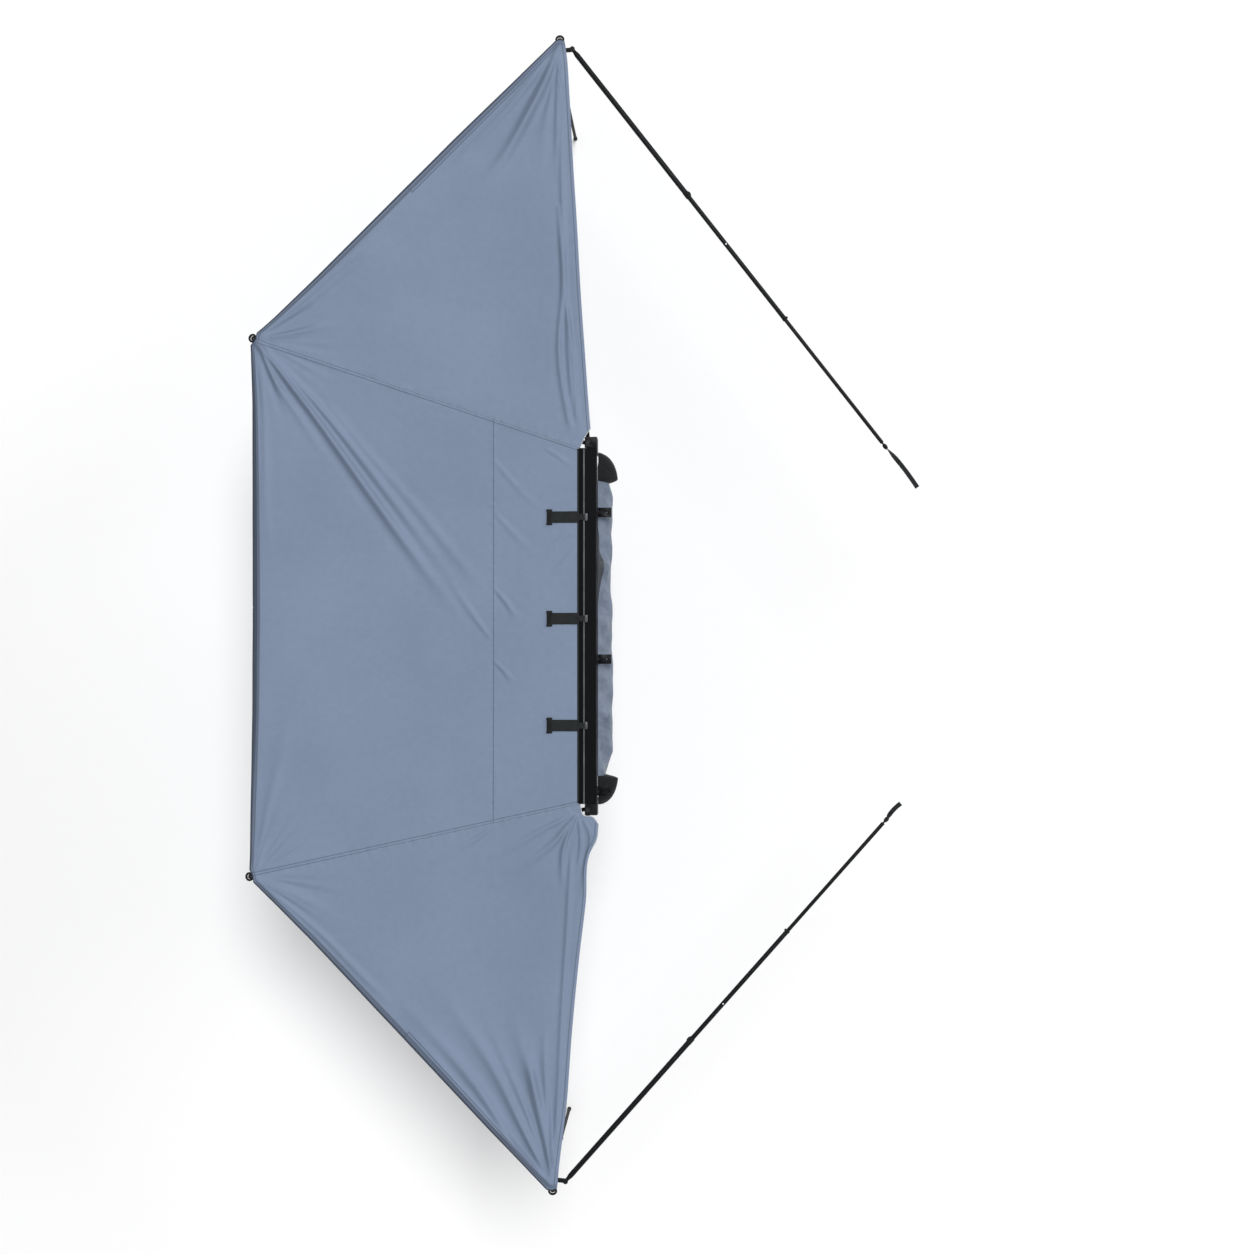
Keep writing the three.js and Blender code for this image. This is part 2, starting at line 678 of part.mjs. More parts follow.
// A panel's surface: a smooth patch between four corners, hollowed hems, a sag and its folds.
function panelSurface({ inner, outer, hollow, lap, folds, sag }) {
  const flat = (u, v) => {
    const near = inner[0].clone().lerp(inner[1], v);
    const far = outer[0].clone().lerp(outer[1], v);
    const hem = far.clone().sub(near).setZ(0).normalize();
    const point = near.lerp(far, u).addScaledVector(hem, -hollow * u * Math.sin(Math.PI * v));
    if (lap) point.x += lap * (1 - v) ** lapFade * Math.sqrt(Math.max(0, Math.sin(Math.PI * u)));
    return point;
  };
  const lines = folds.map(({ fromShares, toShares, width, height }) => ({
    from: flat(...fromShares), to: flat(...toShares), width, height,
  }));
  return (u, v) => {
    const point = flat(u, v);
    const rise = lines.reduce((sum, { from, to, width, height }) =>
      Math.max(sum, ridge(point, from, to, width, height)), 0);
    const drop = sag * (Math.sin(Math.PI * u) * Math.sin(Math.PI * v)) ** 2;
    return [point.x, point.y, point.z + rise - drop];
  };
}

const wingPleatShares = [[0.42, 0.1], [0.3, 0.26], [0.38, 0.45], [0.55, 0.66]];
const mainFoldShares = [[0.26, 0.57], [0.34, 0.66], [0.62, 0.42]];
const mainFoldHeightShares = [1, 0.67, 0.5];
const mainArmFoldShares = [0.4, 0.62];

function wingPanel(wingArm, mainArm, lap) {
  const folds = wingPleatShares.map((toShares) => ({
    fromShares: [1, 0], toShares, width: pleatWidth, height: pleatHeight,
  }));
  folds.push({ fromShares: [1, 1], toShares: mainArmFoldShares, width: foldWidth, height: pleatHeight });
  const seamGap = new THREE.Vector3(0, wingArm.side * gap, 0);
  return panelSurface({
    inner: [clothStart(wingArm), seamStart(wingArm.side).add(seamGap)],
    outer: [clothCorner(wingArm, cornerCut), clothCorner(mainArm, cornerCut).add(seamGap)],
    hollow: hemHollow,
    lap,
    folds,
    sag: clothSag,
  });
}

function centreSurface() {
  const [, frontMain, rearMain] = arms;
  return panelSurface({
    inner: [seamStart(1), seamStart(-1)],
    outer: [clothCorner(frontMain, cornerCut), clothCorner(rearMain, cornerCut)],
    hollow: hemHollow,
    lap: 0,
    folds: mainFoldShares.map((toShares, number) => ({
      fromShares: [1, 0], toShares, width: foldWidth, height: foldHeight * mainFoldHeightShares[number],
    })),
    sag: clothSag,
  });
}

function addCanopy() {
  const [frontWing, frontMain, rearMain, rearWing] = arms;
  const front = wingPanel(frontWing, frontMain, armLapFront);
  const rear = wingPanel(rearWing, rearMain, armLapRear);
  const centre = centreSurface();
  const seamShare = gap / (2 * halfHubs);
  const add = (name, surface) =>
    awning.add(named(name, sheet(surface, clothColumns, clothRows, clothThickness, true), canopyCloth));
  const within = (low, high) => (u, v) => centre(u, low + v * (high - low));
  add('canopy_front_wing', front);
  add('canopy_centre_front', within(0, 0.5 - seamShare / 2));
  add('canopy_centre_rear', within(0.5 + seamShare / 2, 1));
  add('canopy_rear_wing', rear);
}

// The height of the centre cloth at a place seen from above.
function clothHeight(centre, x, y) {
  const [, frontMain, rearMain] = arms;
  const front = clothCorner(frontMain, cornerCut);
  const rear = clothCorner(rearMain, cornerCut);
  const start = seamStart(1);
  const u = Math.max(0, (start.x - x) / (start.x - (front.x + rear.x) / 2));
  const frontY = start.y + u * (front.y - start.y);
  const rearY = -start.y + u * (rear.y + start.y);
  return centre(u, (frontY - y) / (frontY - rearY))[2];
}

// Webbing that lies from the rail out over the cloth, with a wide keeper at its end.
function addTieStrap(end, y) {
  const centre = centreSurface();
  const start = -roofReach - railRadius - gap;
  const strip = (from, length, width, lift) => (u, v) => {
    const x = from - u * length;
    return [x, y + (v - 0.5) * width, clothHeight(centre, x, y) + lift];
  };
  const lift = clothThickness / 2 + gap;
  const strapLift = lift + tieStrapThickness / 2;
  const keeperLift = lift + keeperThickness / 2;
  const surface = strip(start, tieStrapLength, tieStrapWidth, strapLift);
  const strap = sheet(surface, tieStrapColumns, 1, tieStrapThickness, true);
  const keeperStart = start - tieStrapLength - gap;
  const keeper = sheet(strip(keeperStart, keeperLength, keeperWidth, keeperLift), 1, 1, keeperThickness, true);
  awning.add(named(`tie_strap_${end}`, strap, webbing));
  awning.add(named(`strap_keeper_${end}`, keeper, blackPlastic));
}

// The open storage cover: a slack sheet that hangs from the case's back and bulges to the vehicle.
function coverSurface(from, to, top, bulgeAt) {
  return (u, v) => {
    const bulge = bulgeAt(u) * Math.sin(Math.PI * v * coverTuckShare) ** coverRoundShare;
    const wave = coverWave * Math.sin(coverWaves * 2 * Math.PI * u) * v;
    const x = gap + coverThickness / 2 + bulge + (coverWave + wave) * v;
    return [x, from + u * (to - from), top - coverFall * v];
  };
}

function addCover() {
  const front = coverShift + caseEnd - coverEndLength;
  const rear = coverShift - caseEnd + coverEndLength;
  const top = coverLap - halfCase;
  const endTop = -hubPlateUnderside - hubWall - clothThickness;
  const round = (u) => Math.sqrt(Math.max(0, Math.sin(Math.PI * u)));
  const slack = (u) => coverBulge * (coverEndShare + (1 - coverEndShare) * round(u));
  const cap = (u) => coverEndBulge * Math.sqrt(1 - (u * coverCloseShare) ** 2);
  const add = (name, surface, columns, material) =>
    awning.add(named(name, sheet(surface, columns, coverRows, coverThickness), material));
  add('storage_cover', coverSurface(front, rear, top, slack), coverColumns, greyCloth);
  add('cover_end_front', coverSurface(front + gap, front + coverEndLength, endTop, cap), coverRows, blackCloth);
  add('cover_end_rear', coverSurface(rear - gap, rear - coverEndLength, endTop, cap), coverRows, blackCloth);
}

addCase();
addHub('front', 1);
addHub('rear', -1);
for (const [end, y] of Object.entries(rackBracketPlacesY)) addRackBracket(end, y);
for (const arm of arms) addArm(arm);
addCanopy();
for (const [end, share] of Object.entries(tieStrapShares)) addTieStrap(end, share * caseEnd);
addCover();

const whole = new THREE.Group();
whole.add(placed(awning, -rackSeatX, -middleRackY, -rackSeatZ));

export default whole;
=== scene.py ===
"""A vehicle side awning, open and seen from above: a grey blue canopy of three panels on four folding arms,
with drop legs, two telescopic stays and an empty storage cover beside its case.

All sizes are in metres. Places are worked out from the centre of the case's back face, which is where
case_back lies in the frame. +X points to the vehicle, +Y to its front and +Z up."""
import math

import bpy
import numpy as np
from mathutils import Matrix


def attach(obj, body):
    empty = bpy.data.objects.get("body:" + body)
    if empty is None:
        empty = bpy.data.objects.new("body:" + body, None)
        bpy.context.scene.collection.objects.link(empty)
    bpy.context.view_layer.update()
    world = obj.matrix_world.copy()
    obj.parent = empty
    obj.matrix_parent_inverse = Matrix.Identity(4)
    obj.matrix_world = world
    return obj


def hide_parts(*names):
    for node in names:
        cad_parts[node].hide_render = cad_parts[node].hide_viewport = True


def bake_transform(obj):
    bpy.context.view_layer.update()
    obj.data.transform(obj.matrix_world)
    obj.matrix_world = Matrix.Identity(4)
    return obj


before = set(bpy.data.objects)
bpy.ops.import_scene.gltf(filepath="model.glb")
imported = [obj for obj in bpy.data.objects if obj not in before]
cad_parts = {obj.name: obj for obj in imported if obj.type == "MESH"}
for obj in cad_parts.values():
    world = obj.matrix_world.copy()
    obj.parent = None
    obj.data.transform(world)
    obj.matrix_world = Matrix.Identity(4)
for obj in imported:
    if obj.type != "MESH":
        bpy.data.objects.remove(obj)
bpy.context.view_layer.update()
scene = bpy.context.scene
scene.view_settings.view_transform = "Standard"
case_back = np.array([-0.030, 0.174, 0.030])

# The camera hangs 11 m over the awning and looks almost straight down, a little to one side of the middle.
view_data = bpy.data.cameras.new("camera")
view_data.lens = 60.23
view_data.sensor_width = 36.0
camera = bpy.data.objects.new("camera", view_data)
camera.location = (0.470, -0.083, 11.039)
camera.rotation_euler = (0.0228, 0.0310, -0.0006)
scene.collection.objects.link(camera)
scene.camera = camera


class Thread:
    """A socket in a material, with arithmetic that adds Math nodes. node() adds any other node."""

    def __init__(self, tree, socket=None):
        self.tree = tree
        self.socket = socket

    def node(self, kind, settings=None, inputs=None, output=0):
        """Adds a node, sets its settings and then its sockets, and gives one output."""
        made = self.tree.nodes.new("ShaderNode" + kind)
        for name, value in (settings or {}).items():
            setattr(made, name, value)
        for name, value in (inputs or {}).items():
            if isinstance(value, Thread):
                self.tree.links.new(value.socket, made.inputs[name])
            else:
                made.inputs[name].default_value = value
        return Thread(self.tree, made.outputs[output])

    def other(self, output):
        """Another output of this socket's node."""
        return Thread(self.tree, self.socket.node.outputs[output])

    def feed(self, node, socket):
        """Leads this value into a named node of the tree."""
        self.tree.links.new(self.socket, self.tree.nodes[node].inputs[socket])

    def math(self, operation, *others):
        return self.node("Math", {"operation": operation}, dict(enumerate((self,) + others)))

    def __add__(self, other):
        return self.math("ADD", other)

    def __sub__(self, other):
        return self.math("SUBTRACT", other)

    def __rsub__(self, other):
        return self.node("Math", {"operation": "SUBTRACT"}, {0: other, 1: self})

    def __mul__(self, other):
        return self.math("MULTIPLY", other)

    __radd__ = __add__
    __rmul__ = __mul__

    def between(self, low, high):
        """0 below low, 1 above high, and smooth from one to the other."""
        settings = {"interpolation_type": "SMOOTHSTEP"}
        return self.node("MapRange", settings, {"Value": self, "From Min": low, "From Max": high})

    def below(self, low, high):
        """1 below low and 0 above high."""
        return 1 - self.between(low, high)

    def line_at(self, place, low, high):
        """1 nearer to a place than low, and 0 farther from it than high."""
        return (self - place).math("ABSOLUTE").below(low, high)

    def wave(self, count):
        """The sine of this value times a count."""
        return (self * count).math("SINE")

    def largest(self, *others):
        """The largest of this value and others."""
        most = self
        for other in others:
            most = most.math("MAXIMUM", other)
        return most

    def blend(self, first, second):
        """A colour that goes from the first to the second as this value goes from 0 to 1."""
        return self.node("Mix", {"data_type": "RGBA"}, {0: self, 6: first, 7: second}, 2)


def finish_of(name, **constants):
    """A material with its constants on the shader's own sockets, and a thread to build on."""
    made = bpy.data.materials.new(name)
    made.use_nodes = True
    for socket, value in constants.items():
        made.node_tree.nodes["Principled BSDF"].inputs[socket.replace("_", " ")].default_value = value
    return made, Thread(made.node_tree)


def dress(colour, roughness, normal=None):
    """Leads a colour, a roughness and the normal of the bumps into their material's shader."""
    for value, socket in ((colour, "Base Color"), (roughness, "Roughness"), (normal, "Normal")):
        if value is not None:
            value.feed("Principled BSDF", socket)


def map_of(thread, name):
    """One of the mesh's maps: the place on it and its two distances."""
    place = thread.node("UVMap", {"uv_map": name})
    parts = place.node("SeparateXYZ", None, {0: place})
    return place, parts, parts.other(1)


def noise(thread, where, scale, detail=3.0, roughness=0.5):
    inputs = {"Vector": where, "Scale": scale, "Detail": detail, "Roughness": roughness}
    return thread.node("TexNoise", None, inputs)


def flecks(thread, scale, detail=3.0, stretch=(1.0, 1.0, 1.0)):
    """Noise over the place on the object, in metres, stretched by a scale."""
    place = thread.node("TexCoord", output=3)
    return noise(thread, place.node("Mapping", None, {"Vector": place, "Scale": stretch}), scale, detail)


def bumped(thread, height, strength, distance, under=None):
    """The normal that a height gives, over another bump if there is one."""
    inputs = {"Height": height, "Strength": strength, "Distance": distance}
    if under is not None:
        inputs["Normal"] = under
    return thread.node("Bump", None, inputs)


def grey(value):
    return (value, value, value, 1.0)


# The floor under the legs is plain and pale, and takes the awning's shadow. A soft white sky lights it from
# all round, and two broad suns shade the folds: one nearly overhead and a low one from the vehicle's side.
ground, floor_size, floor_glow, sky_light = -1.780, 60.0, 0.12, 0.36


def seen_rays(thread):
    """1 for the rays that show a surface, and 0 for those that carry its light to others."""
    ray = thread.node("LightPath")
    return ray.other("Is Camera Ray").largest(ray.other("Is Glossy Ray"), ray.other("Is Transmission Ray"))


floor_mesh = bpy.data.meshes.new("floor")
corners = np.array([(-1, -1, 0), (1, -1, 0), (1, 1, 0), (-1, 1, 0)]) * floor_size / 2
floor_mesh.from_pydata((corners + case_back + (0, 0, ground)).tolist(), [], [(0, 1, 2, 3)])
floor = bpy.data.objects.new("floor", floor_mesh)
scene.collection.objects.link(floor)
pale, thread = finish_of("pale floor", Base_Color=grey(0.97), Roughness=0.9)
glow = thread.node("Emission", None, {"Color": grey(1.0), "Strength": 1.0})
lit = Thread(thread.tree, thread.tree.nodes["Principled BSDF"].outputs[0])
mixed = thread.node("MixShader", None, {0: seen_rays(thread) * floor_glow, 1: lit, 2: glow})
mixed.feed("Material Output", "Surface")
floor_mesh.materials.append(pale)

world = bpy.data.worlds.new("studio")
scene.world = world
world.use_nodes = True
air = Thread(world.node_tree)
soft = air.node("Background", None, {"Color": grey(1.0), "Strength": sky_light})
white = air.node("Background", None, {"Color": grey(1.0), "Strength": 1.0})
air.node("MixShader", None, {0: seen_rays(air), 1: soft, 2: white}).feed("World Output", "Surface")

for name, angle, power, turn in (("high lamp", 19.0, 1.86, (-17.0, 9.5, 0.0)),
                                 ("low lamp", 24.0, 1.00, (-22.7, 63.8, 0.0))):
    lamp_data = bpy.data.lights.new(name, "SUN")
    lamp_data.angle = math.radians(angle)
    lamp_data.energy = power
    lamp = bpy.data.objects.new(name, lamp_data)
    lamp.rotation_euler = [math.radians(value) for value in turn]
    scene.collection.objects.link(lamp)

# The case is one aluminium extrusion with a dark anodised finish: an upright back, a roof flange and the rail
# that grips the canopy's edge. Drawing it has left fine lines along it.
case_length, case_height, roof_reach = 1.860, 0.138, 0.084
rail_height, rail_radius = 0.071, 0.005
dark_metal, thread = finish_of("dark anodised aluminium", Metallic=0.2, Specular_IOR_Level=0.04)
lines = flecks(thread, 1.0, 4.0, (900.0, 3.0, 900.0))
patches = flecks(thread, 14.0)
colour = (lines * 0.5 + patches * 0.5).blend((0.0014, 0.0016, 0.0020, 1), (0.0052, 0.0058, 0.0070, 1))
dress(colour, 0.42 + patches * 0.16, bumped(thread, lines, 0.25, 0.0002))
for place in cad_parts["case_extrusion"].material_slots:
    place.material = dark_metal

# The hub brackets are folded steel plates over the case's ends, powder coated black, that hold the upright
# pivots. Each is a blackened bolt with a hexagon and a washer at both ends and its shank showing on top.
ends = {"front": 1, "rear": -1}
half_hubs, hub_x, hub_top = 0.960, -0.043, 0.0733
bolt_radius, bolt_head, bolt_head_height, washer_radius = 0.006, 0.0100, 0.007, 0.0125
gap, axle = 0.0003, 0.0001
black_coat, thread = finish_of("black powder coat", Specular_IOR_Level=0.11)
patches = flecks(thread, 9.0, 4.0)
rubs = flecks(thread, 1.0, 5.0, (60.0, 60.0, 9.0)).between(0.62, 0.74)
coat = patches.blend((0.0022, 0.0024, 0.0030, 1), (0.0062, 0.0068, 0.0082, 1))
colour = (rubs * 0.35).blend(coat, (0.060, 0.064, 0.068, 1))
dress(colour, 0.34 + patches * 0.14 - rubs * 0.06, bumped(thread, flecks(thread, 900.0, 2.0), 0.22, 0.00025))


def spotted(name, spots, dark, light, dull, grain=None, span=None, **constants):
    """A plain finish: its colour goes between two over soft spots and its roughness with them, and a grain,
    given as its noise, strength and depth, bends its surface."""
    made, thread = finish_of(name, **constants)
    patches = flecks(thread, *spots)
    shown = patches.between(*span) if span else patches
    normal = bumped(thread, flecks(thread, *grain[0]), *grain[1:]) if grain else None
    dress(shown.blend(dark, light), dull[0] + patches * dull[1], normal)
    return made


blackened = spotted("blackened steel", (80.0, 4.0), (0.006, 0.0065, 0.007, 1), (0.030, 0.030, 0.032, 1),
                    (0.38, 0.2), span=(0.35, 0.7), Metallic=0.6, Specular_IOR_Level=0.2)


def ring_of(sides, power):
    """The points of a superellipse: |x|^power + |y|^power = 1, as cosines and sines with a signed root."""
    turn = np.arange(sides) * 2 * math.pi / sides
    cosine, sine = np.cos(turn), np.sin(turn)
    root = 2.0 / power
    return np.sign(cosine) * np.abs(cosine) ** root, np.sign(sine) * np.abs(sine) ** root


def rounded(profile, radius, steps=4):
    """A profile with its inner corners rounded: each corner becomes a parabola between its two sides."""
    corners = np.asarray(profile, float)
    made = [corners[:1]]
    share = np.linspace(0, 1, steps + 1)[:, None]
    for before, corner, after in zip(corners[:-2], corners[1:-1], corners[2:]):
        back, ahead = before - corner, after - corner
        reach = min(radius, 0.49 * np.linalg.norm(back[:2]), 0.49 * np.linalg.norm(ahead[:2]))
        start = corner + back * reach / max(np.linalg.norm(back[:2]), 1e-9)
        end = corner + ahead * reach / max(np.linalg.norm(ahead[:2]), 1e-9)
        made.append((1 - share) ** 2 * start + 2 * share * (1 - share) * corner + share ** 2 * end)
    made.append(corners[-1:])
    return np.concatenate(made)


def outward(points, faces):
    """The same closed shape with its faces pointing out: the sum of their signed volumes is positive."""
    first = np.array([face[:3] for face in faces])
    second = np.array([(face[0], face[2], face[3]) for face in faces if len(face) == 4])
    corners = points[np.vstack([first, second]) if len(second) else first]
    volume = np.einsum("ij,ij->i", corners[:, 0], np.cross(corners[:, 1], corners[:, 2])).sum()
    return points, faces if volume > 0 else [face[::-1] for face in faces]


def wall(rows, sides, closed=False):
    """The faces between rows of points that are rings of so many sides."""
    i, j = np.meshgrid(np.arange(rows if closed else rows - 1), np.arange(sides), indexing="ij")
    right, below = (j + 1) % sides, (i + 1) % rows
    faces = np.stack([i * sides + j, i * sides + right, below * sides + right, below * sides + j], axis=-1)
    return faces.reshape(-1, 4).tolist()


def turned(profile, edge=0.0, axis="z", sides=32, power=2.0, closed=False):
    """A profile of (along, across, up), its corners rounded by an edge, carried round an axis: each row is a
    superellipse of those half sizes. An open profile is closed by a point at each end, and a closed one joins
    its last row to its first."""
    rows = rounded(profile, edge) if edge else np.array(profile, float)
    cosine, sine = ring_of(sides, power)
    along = np.repeat(rows[:, :1], sides, axis=1)
    across, up = rows[:, 1:2] * cosine, rows[:, -1:] * sine
    order = {"z": (across, up, along), "x": (along, across, up), "y": (up, along, across)}[axis]
    points = np.stack(order, axis=-1).reshape(-1, 3)
    faces = wall(len(rows), sides, closed)
    if not closed:
        turn, first, base = np.arange(sides), len(points), len(points) - sides
        after = (turn + 1) % sides
        points = np.vstack([points, points[:sides].mean(0), points[-sides:].mean(0)])
        faces += np.stack([np.full(sides, first), after, turn], axis=-1).tolist()
        faces += np.stack([np.full(sides, first + 1), base + turn, base + after], axis=-1).tolist()
    return outward(points, faces)


def solid(rows, edge, axis="z", sides=32, power=2.0):
    """A turned shape with flat ends: its end rows reach in to the axis, and their rims are rounded."""
    middle = (axle,) * (len(rows[0]) - 1)
    return turned([(rows[0][0], *middle), *rows, (rows[-1][0], *middle)], edge, axis, sides, power)


def bar(radius, low, high, edge=0.0004, axis="z", sides=32):
    """A round bar or plate with rounded ends."""
    return solid([(low, radius), (high, radius)], edge, axis, sides)


def pipe(inner, outer, low, high, edge=0.0004, axis="z", sides=40):
    """A round tube or ring with rounded rims."""
    return turned([(low, inner), (low, outer), (high, outer), (high, inner)], edge, axis, sides, closed=True)


def hexagon(radius, low, high, edge=0.0008):
    """A hexagon bar with bevelled ends."""
    profile = [(low, radius - edge), (low + edge, radius), (high - edge, radius), (high, radius - edge)]
    return turned(profile, sides=6)


def swapped(shape, order=(0, 1, 2), side=1):
    """A shape with its axes in another order, and mirrored from side to side where side is -1."""
    points, faces = shape
    return outward(points[:, order] * (1, side, 1), faces)


def joined(*shapes):
    """Several shapes as one."""
    points, faces, start = [], [], 0
    for more, sides in shapes:
        points.append(more)
        faces += [[number + start for number in face] for face in sides]
        start += len(more)
    return np.vstack(points), faces


def moved(shape, x=0.0, y=0.0, z=0.0, turn=0.0):
    """A shape turned about the upright axis by an angle in degrees and then moved."""
    points, faces = shape
    cosine, sine = math.cos(math.radians(turn)), math.sin(math.radians(turn))
    rotation = np.array([(cosine, sine, 0), (-sine, cosine, 0), (0, 0, 1)])
    return points @ rotation + (x, y, z), faces


def piece(name, shape, material, body=None, replaces=(), sharp=38.0, maps=None):
    """Makes an object of a shape, in the frame, gives it its finish and its body, and hides the nodes it
    replaces.
    """
    points, faces = shape
    mesh = bpy.data.meshes.new(name)
    mesh.from_pydata((points + case_back).tolist(), [], faces)
    corner = np.empty(len(mesh.loops), np.int32)
    mesh.loops.foreach_get("vertex_index", corner)
    for map_name, values in (maps or {}).items():
        layer = mesh.uv_layers.new(name=map_name)
        layer.data.foreach_set("uv", np.asarray(values, float)[corner].ravel())
    mesh.shade_smooth()
    mesh.set_sharp_from_angle(angle=math.radians(sharp))
    mesh.materials.append(material)
    made = bpy.data.objects.new(name, mesh)
    scene.collection.objects.link(made)
    if replaces:
        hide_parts(*replaces)
    if body:
        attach(made, body)
    return made


def softened(name, node, material, body, width=0.0008):
    """A CAD node's own shape, merged and with its edges rounded over by a bevel."""
    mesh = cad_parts[node].data.copy()
    mesh.name = name
    mesh.materials.clear()
    mesh.materials.append(material)
    made = bpy.data.objects.new(name, mesh)
    scene.collection.objects.link(made)
    weld = made.modifiers.new("weld", "WELD")
    weld.merge_threshold = 0.00002
    flat = made.modifiers.new("flat", "DECIMATE")
    flat.decimate_type = "DISSOLVE"
    flat.angle_limit = math.radians(1.0)
    bevel = made.modifiers.new("bevel", "BEVEL")
    bevel.width = width
    bevel.segments = 2
    bevel.angle_limit = math.radians(35.0)
    bevel.harden_normals = True
    for modifier in (weld, flat, bevel):
        with bpy.context.temp_override(object=made, active_object=made, selected_objects=[made]):
            bpy.ops.object.modifier_apply(modifier=modifier.name)
    made.data.shade_smooth()
    made.data.set_sharp_from_angle(angle=math.radians(38.0))
    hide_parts(node)
    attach(made, body)
    return made


for end, side in ends.items():
    softened(f"hub_plate_{end}", f"hub_bracket_{end}", black_coat, "case", 0.0007)
    top = hub_top + gap
    parts = [
        bar(bolt_radius, -top - 0.006, top + 0.006),
        bar(washer_radius, top + gap, top + 0.0020),
        bar(washer_radius, -top - 0.0020, -top - gap),
        hexagon(bolt_head, top + 0.0020, top + bolt_head_height),
        hexagon(bolt_head, -top - bolt_head_height, -top - 0.0020),
        bar(0.0062, top + 0.0040, top + bolt_head_height + 0.0012),
    ]
    bolt = moved(joined(*parts), hub_x, side * half_hubs)
    piece(f"pivot_{end}", bolt, blackened, "case", [f"pivot_bolt_{end}"])

# Three angle brackets of folded steel carry the case under the crossbars, each on one bolt through its back.
rack_places = {"front": 0.600, "middle": -0.174, "rear": -0.868}
rack_bolt_rise, rack_wall = 0.014, 0.005
for end, place_y in rack_places.items():
    softened(f"rack_angle_{end}", f"rack_bracket_{end}", black_coat, "case")
    seat = rack_wall + 0.0006
    shank = bar(0.004, -0.003, seat, axis="x")
    washer = bar(0.0088, seat, seat + 0.0014, axis="x")
    head = turned([(seat + 0.0014, 0.0068), (seat + 0.0020, 0.0075), (seat + 0.0054, 0.0075),
                   (seat + 0.0060, 0.0068)], axis="x", sides=6)
    bolt = moved(joined(shank, washer, head), 0, place_y, rack_bolt_rise)
    piece(f"rack_screw_{end}", bolt, blackened, "case", [f"rack_bolt_{end}"])

# The four arms turn on the two pivots, each at its own height so that they fold over one another. They are
# black coated box tubes on cast eyes, and the wing arms have an inner tube that pulls out.
arm_height, arm_sleeve = 0.024, 1.590
arms = {
    "front_wing": {"side": 1, "height": 0.048, "length": 2.140, "angle": 94.0, "end": "front_wing_end"},
    "front_main": {"side": 1, "height": -0.016, "length": 1.879, "angle": 162.3, "end": "front_main_arm"},
    "rear_main": {"side": -1, "height": -0.048, "length": 1.840, "angle": 191.4, "end": "rear_main_arm"},
    "rear_wing": {"side": -1, "height": 0.016, "length": 2.003, "angle": 264.6, "end": "rear_wing_end"},
}
moulded = spotted("moulded black nylon", (40.0, 3.0), (0.0075, 0.0078, 0.0085, 1),
                  (0.0150, 0.0155, 0.0165, 1), (0.46, 0.16), ((1400.0, 2.0), 0.3, 0.0002),
                  Specular_IOR_Level=0.08)


def on_arm(shape, arm, along=0.0, beside=0.0, up=0.0):
    """A shape made along +X from an arm's own pivot, moved along and beside the arm and put on it."""
    row = arms[arm]
    shifted = moved(shape, along, beside, up)
    return moved(shifted, hub_x, row["side"] * half_hubs, row["height"], row["angle"])


for name in arms:
    softened(f"{name}_eye", f"{name}_knuckle", black_coat, f"{name}_arm")
    softened(f"{name}_beam", f"{name}_tube", black_coat, f"{name}_arm", 0.0012)
    if name.endswith("wing"):
        softened(f"{name}_inner_beam", f"{name}_extension", dark_metal, arms[name]["end"],
                 0.0010)
        sleeve = turned([(-0.032, 0.0100, 0.0120), (-0.032, 0.0122, 0.0142), (0.0, 0.0122, 0.0142),
                         (0.003, 0.0112, 0.0132), (0.003, 0.0084, 0.0104), (-0.001, 0.0084, 0.0104)],
                        0.0015, "x", 48, 8.0)
        lever = solid([(-0.026, 0.0060, 0.0020), (0.004, 0.0040, 0.0016)], 0.0012, "x", 24, 4.0)
        screw = moved(bar(0.0045, -0.0016, 0.0016, 0.0005, sides=24), -0.018, 0, -0.0160)
        clamp = joined(sleeve, moved(lever, 0, 0, -0.0158), screw)
        piece(f"{name}_clamp", on_arm(clamp, name, arm_sleeve), moulded, f"{name}_arm")

# A moulded fitting closes each arm. The leg hangs from a pin on its side, and the canopy's corner is tied to
# the blackened eyelet in the horseshoe at its end. On a wing it has a lug below for the stay's foot.
tip_length, hinge_inset, leg_offset = 0.104, 0.062, 0.023
ring_radius, eyelet_radius, eyelet_inset = 0.0100, 0.0050, 0.0135
leg_radius, pin_head_reach, pin_head = 0.011, 0.0366, 0.002
stay_offset, stay_radius, stay_lug, stay_lug_width = 0.062, 0.014, 0.005, 0.024


def carried(path, width, height, up=(0, 0, 1), sides=10, power=2.0):
    """A bar along a path: its section, a superellipse of these half sizes, lies across the path."""
    step = np.gradient(path, axis=0)
    step /= np.linalg.norm(step, axis=1)[:, None]
    across = np.cross(np.broadcast_to(np.asarray(up, float), step.shape), step)
    across /= np.linalg.norm(across, axis=1)[:, None]
    cosine, sine = (values[:, None] for values in ring_of(sides, power))
    points = (path[:, None] + across[:, None] * cosine * np.reshape(width, (-1, 1, 1))
              + np.cross(step, across)[:, None] * sine * np.reshape(height, (-1, 1, 1)))
    last = (len(path) - 1) * sides
    caps = [list(range(sides))[::-1], list(range(last, last + sides))]
    return outward(points.reshape(-1, 3), wall(len(path), sides) + caps)


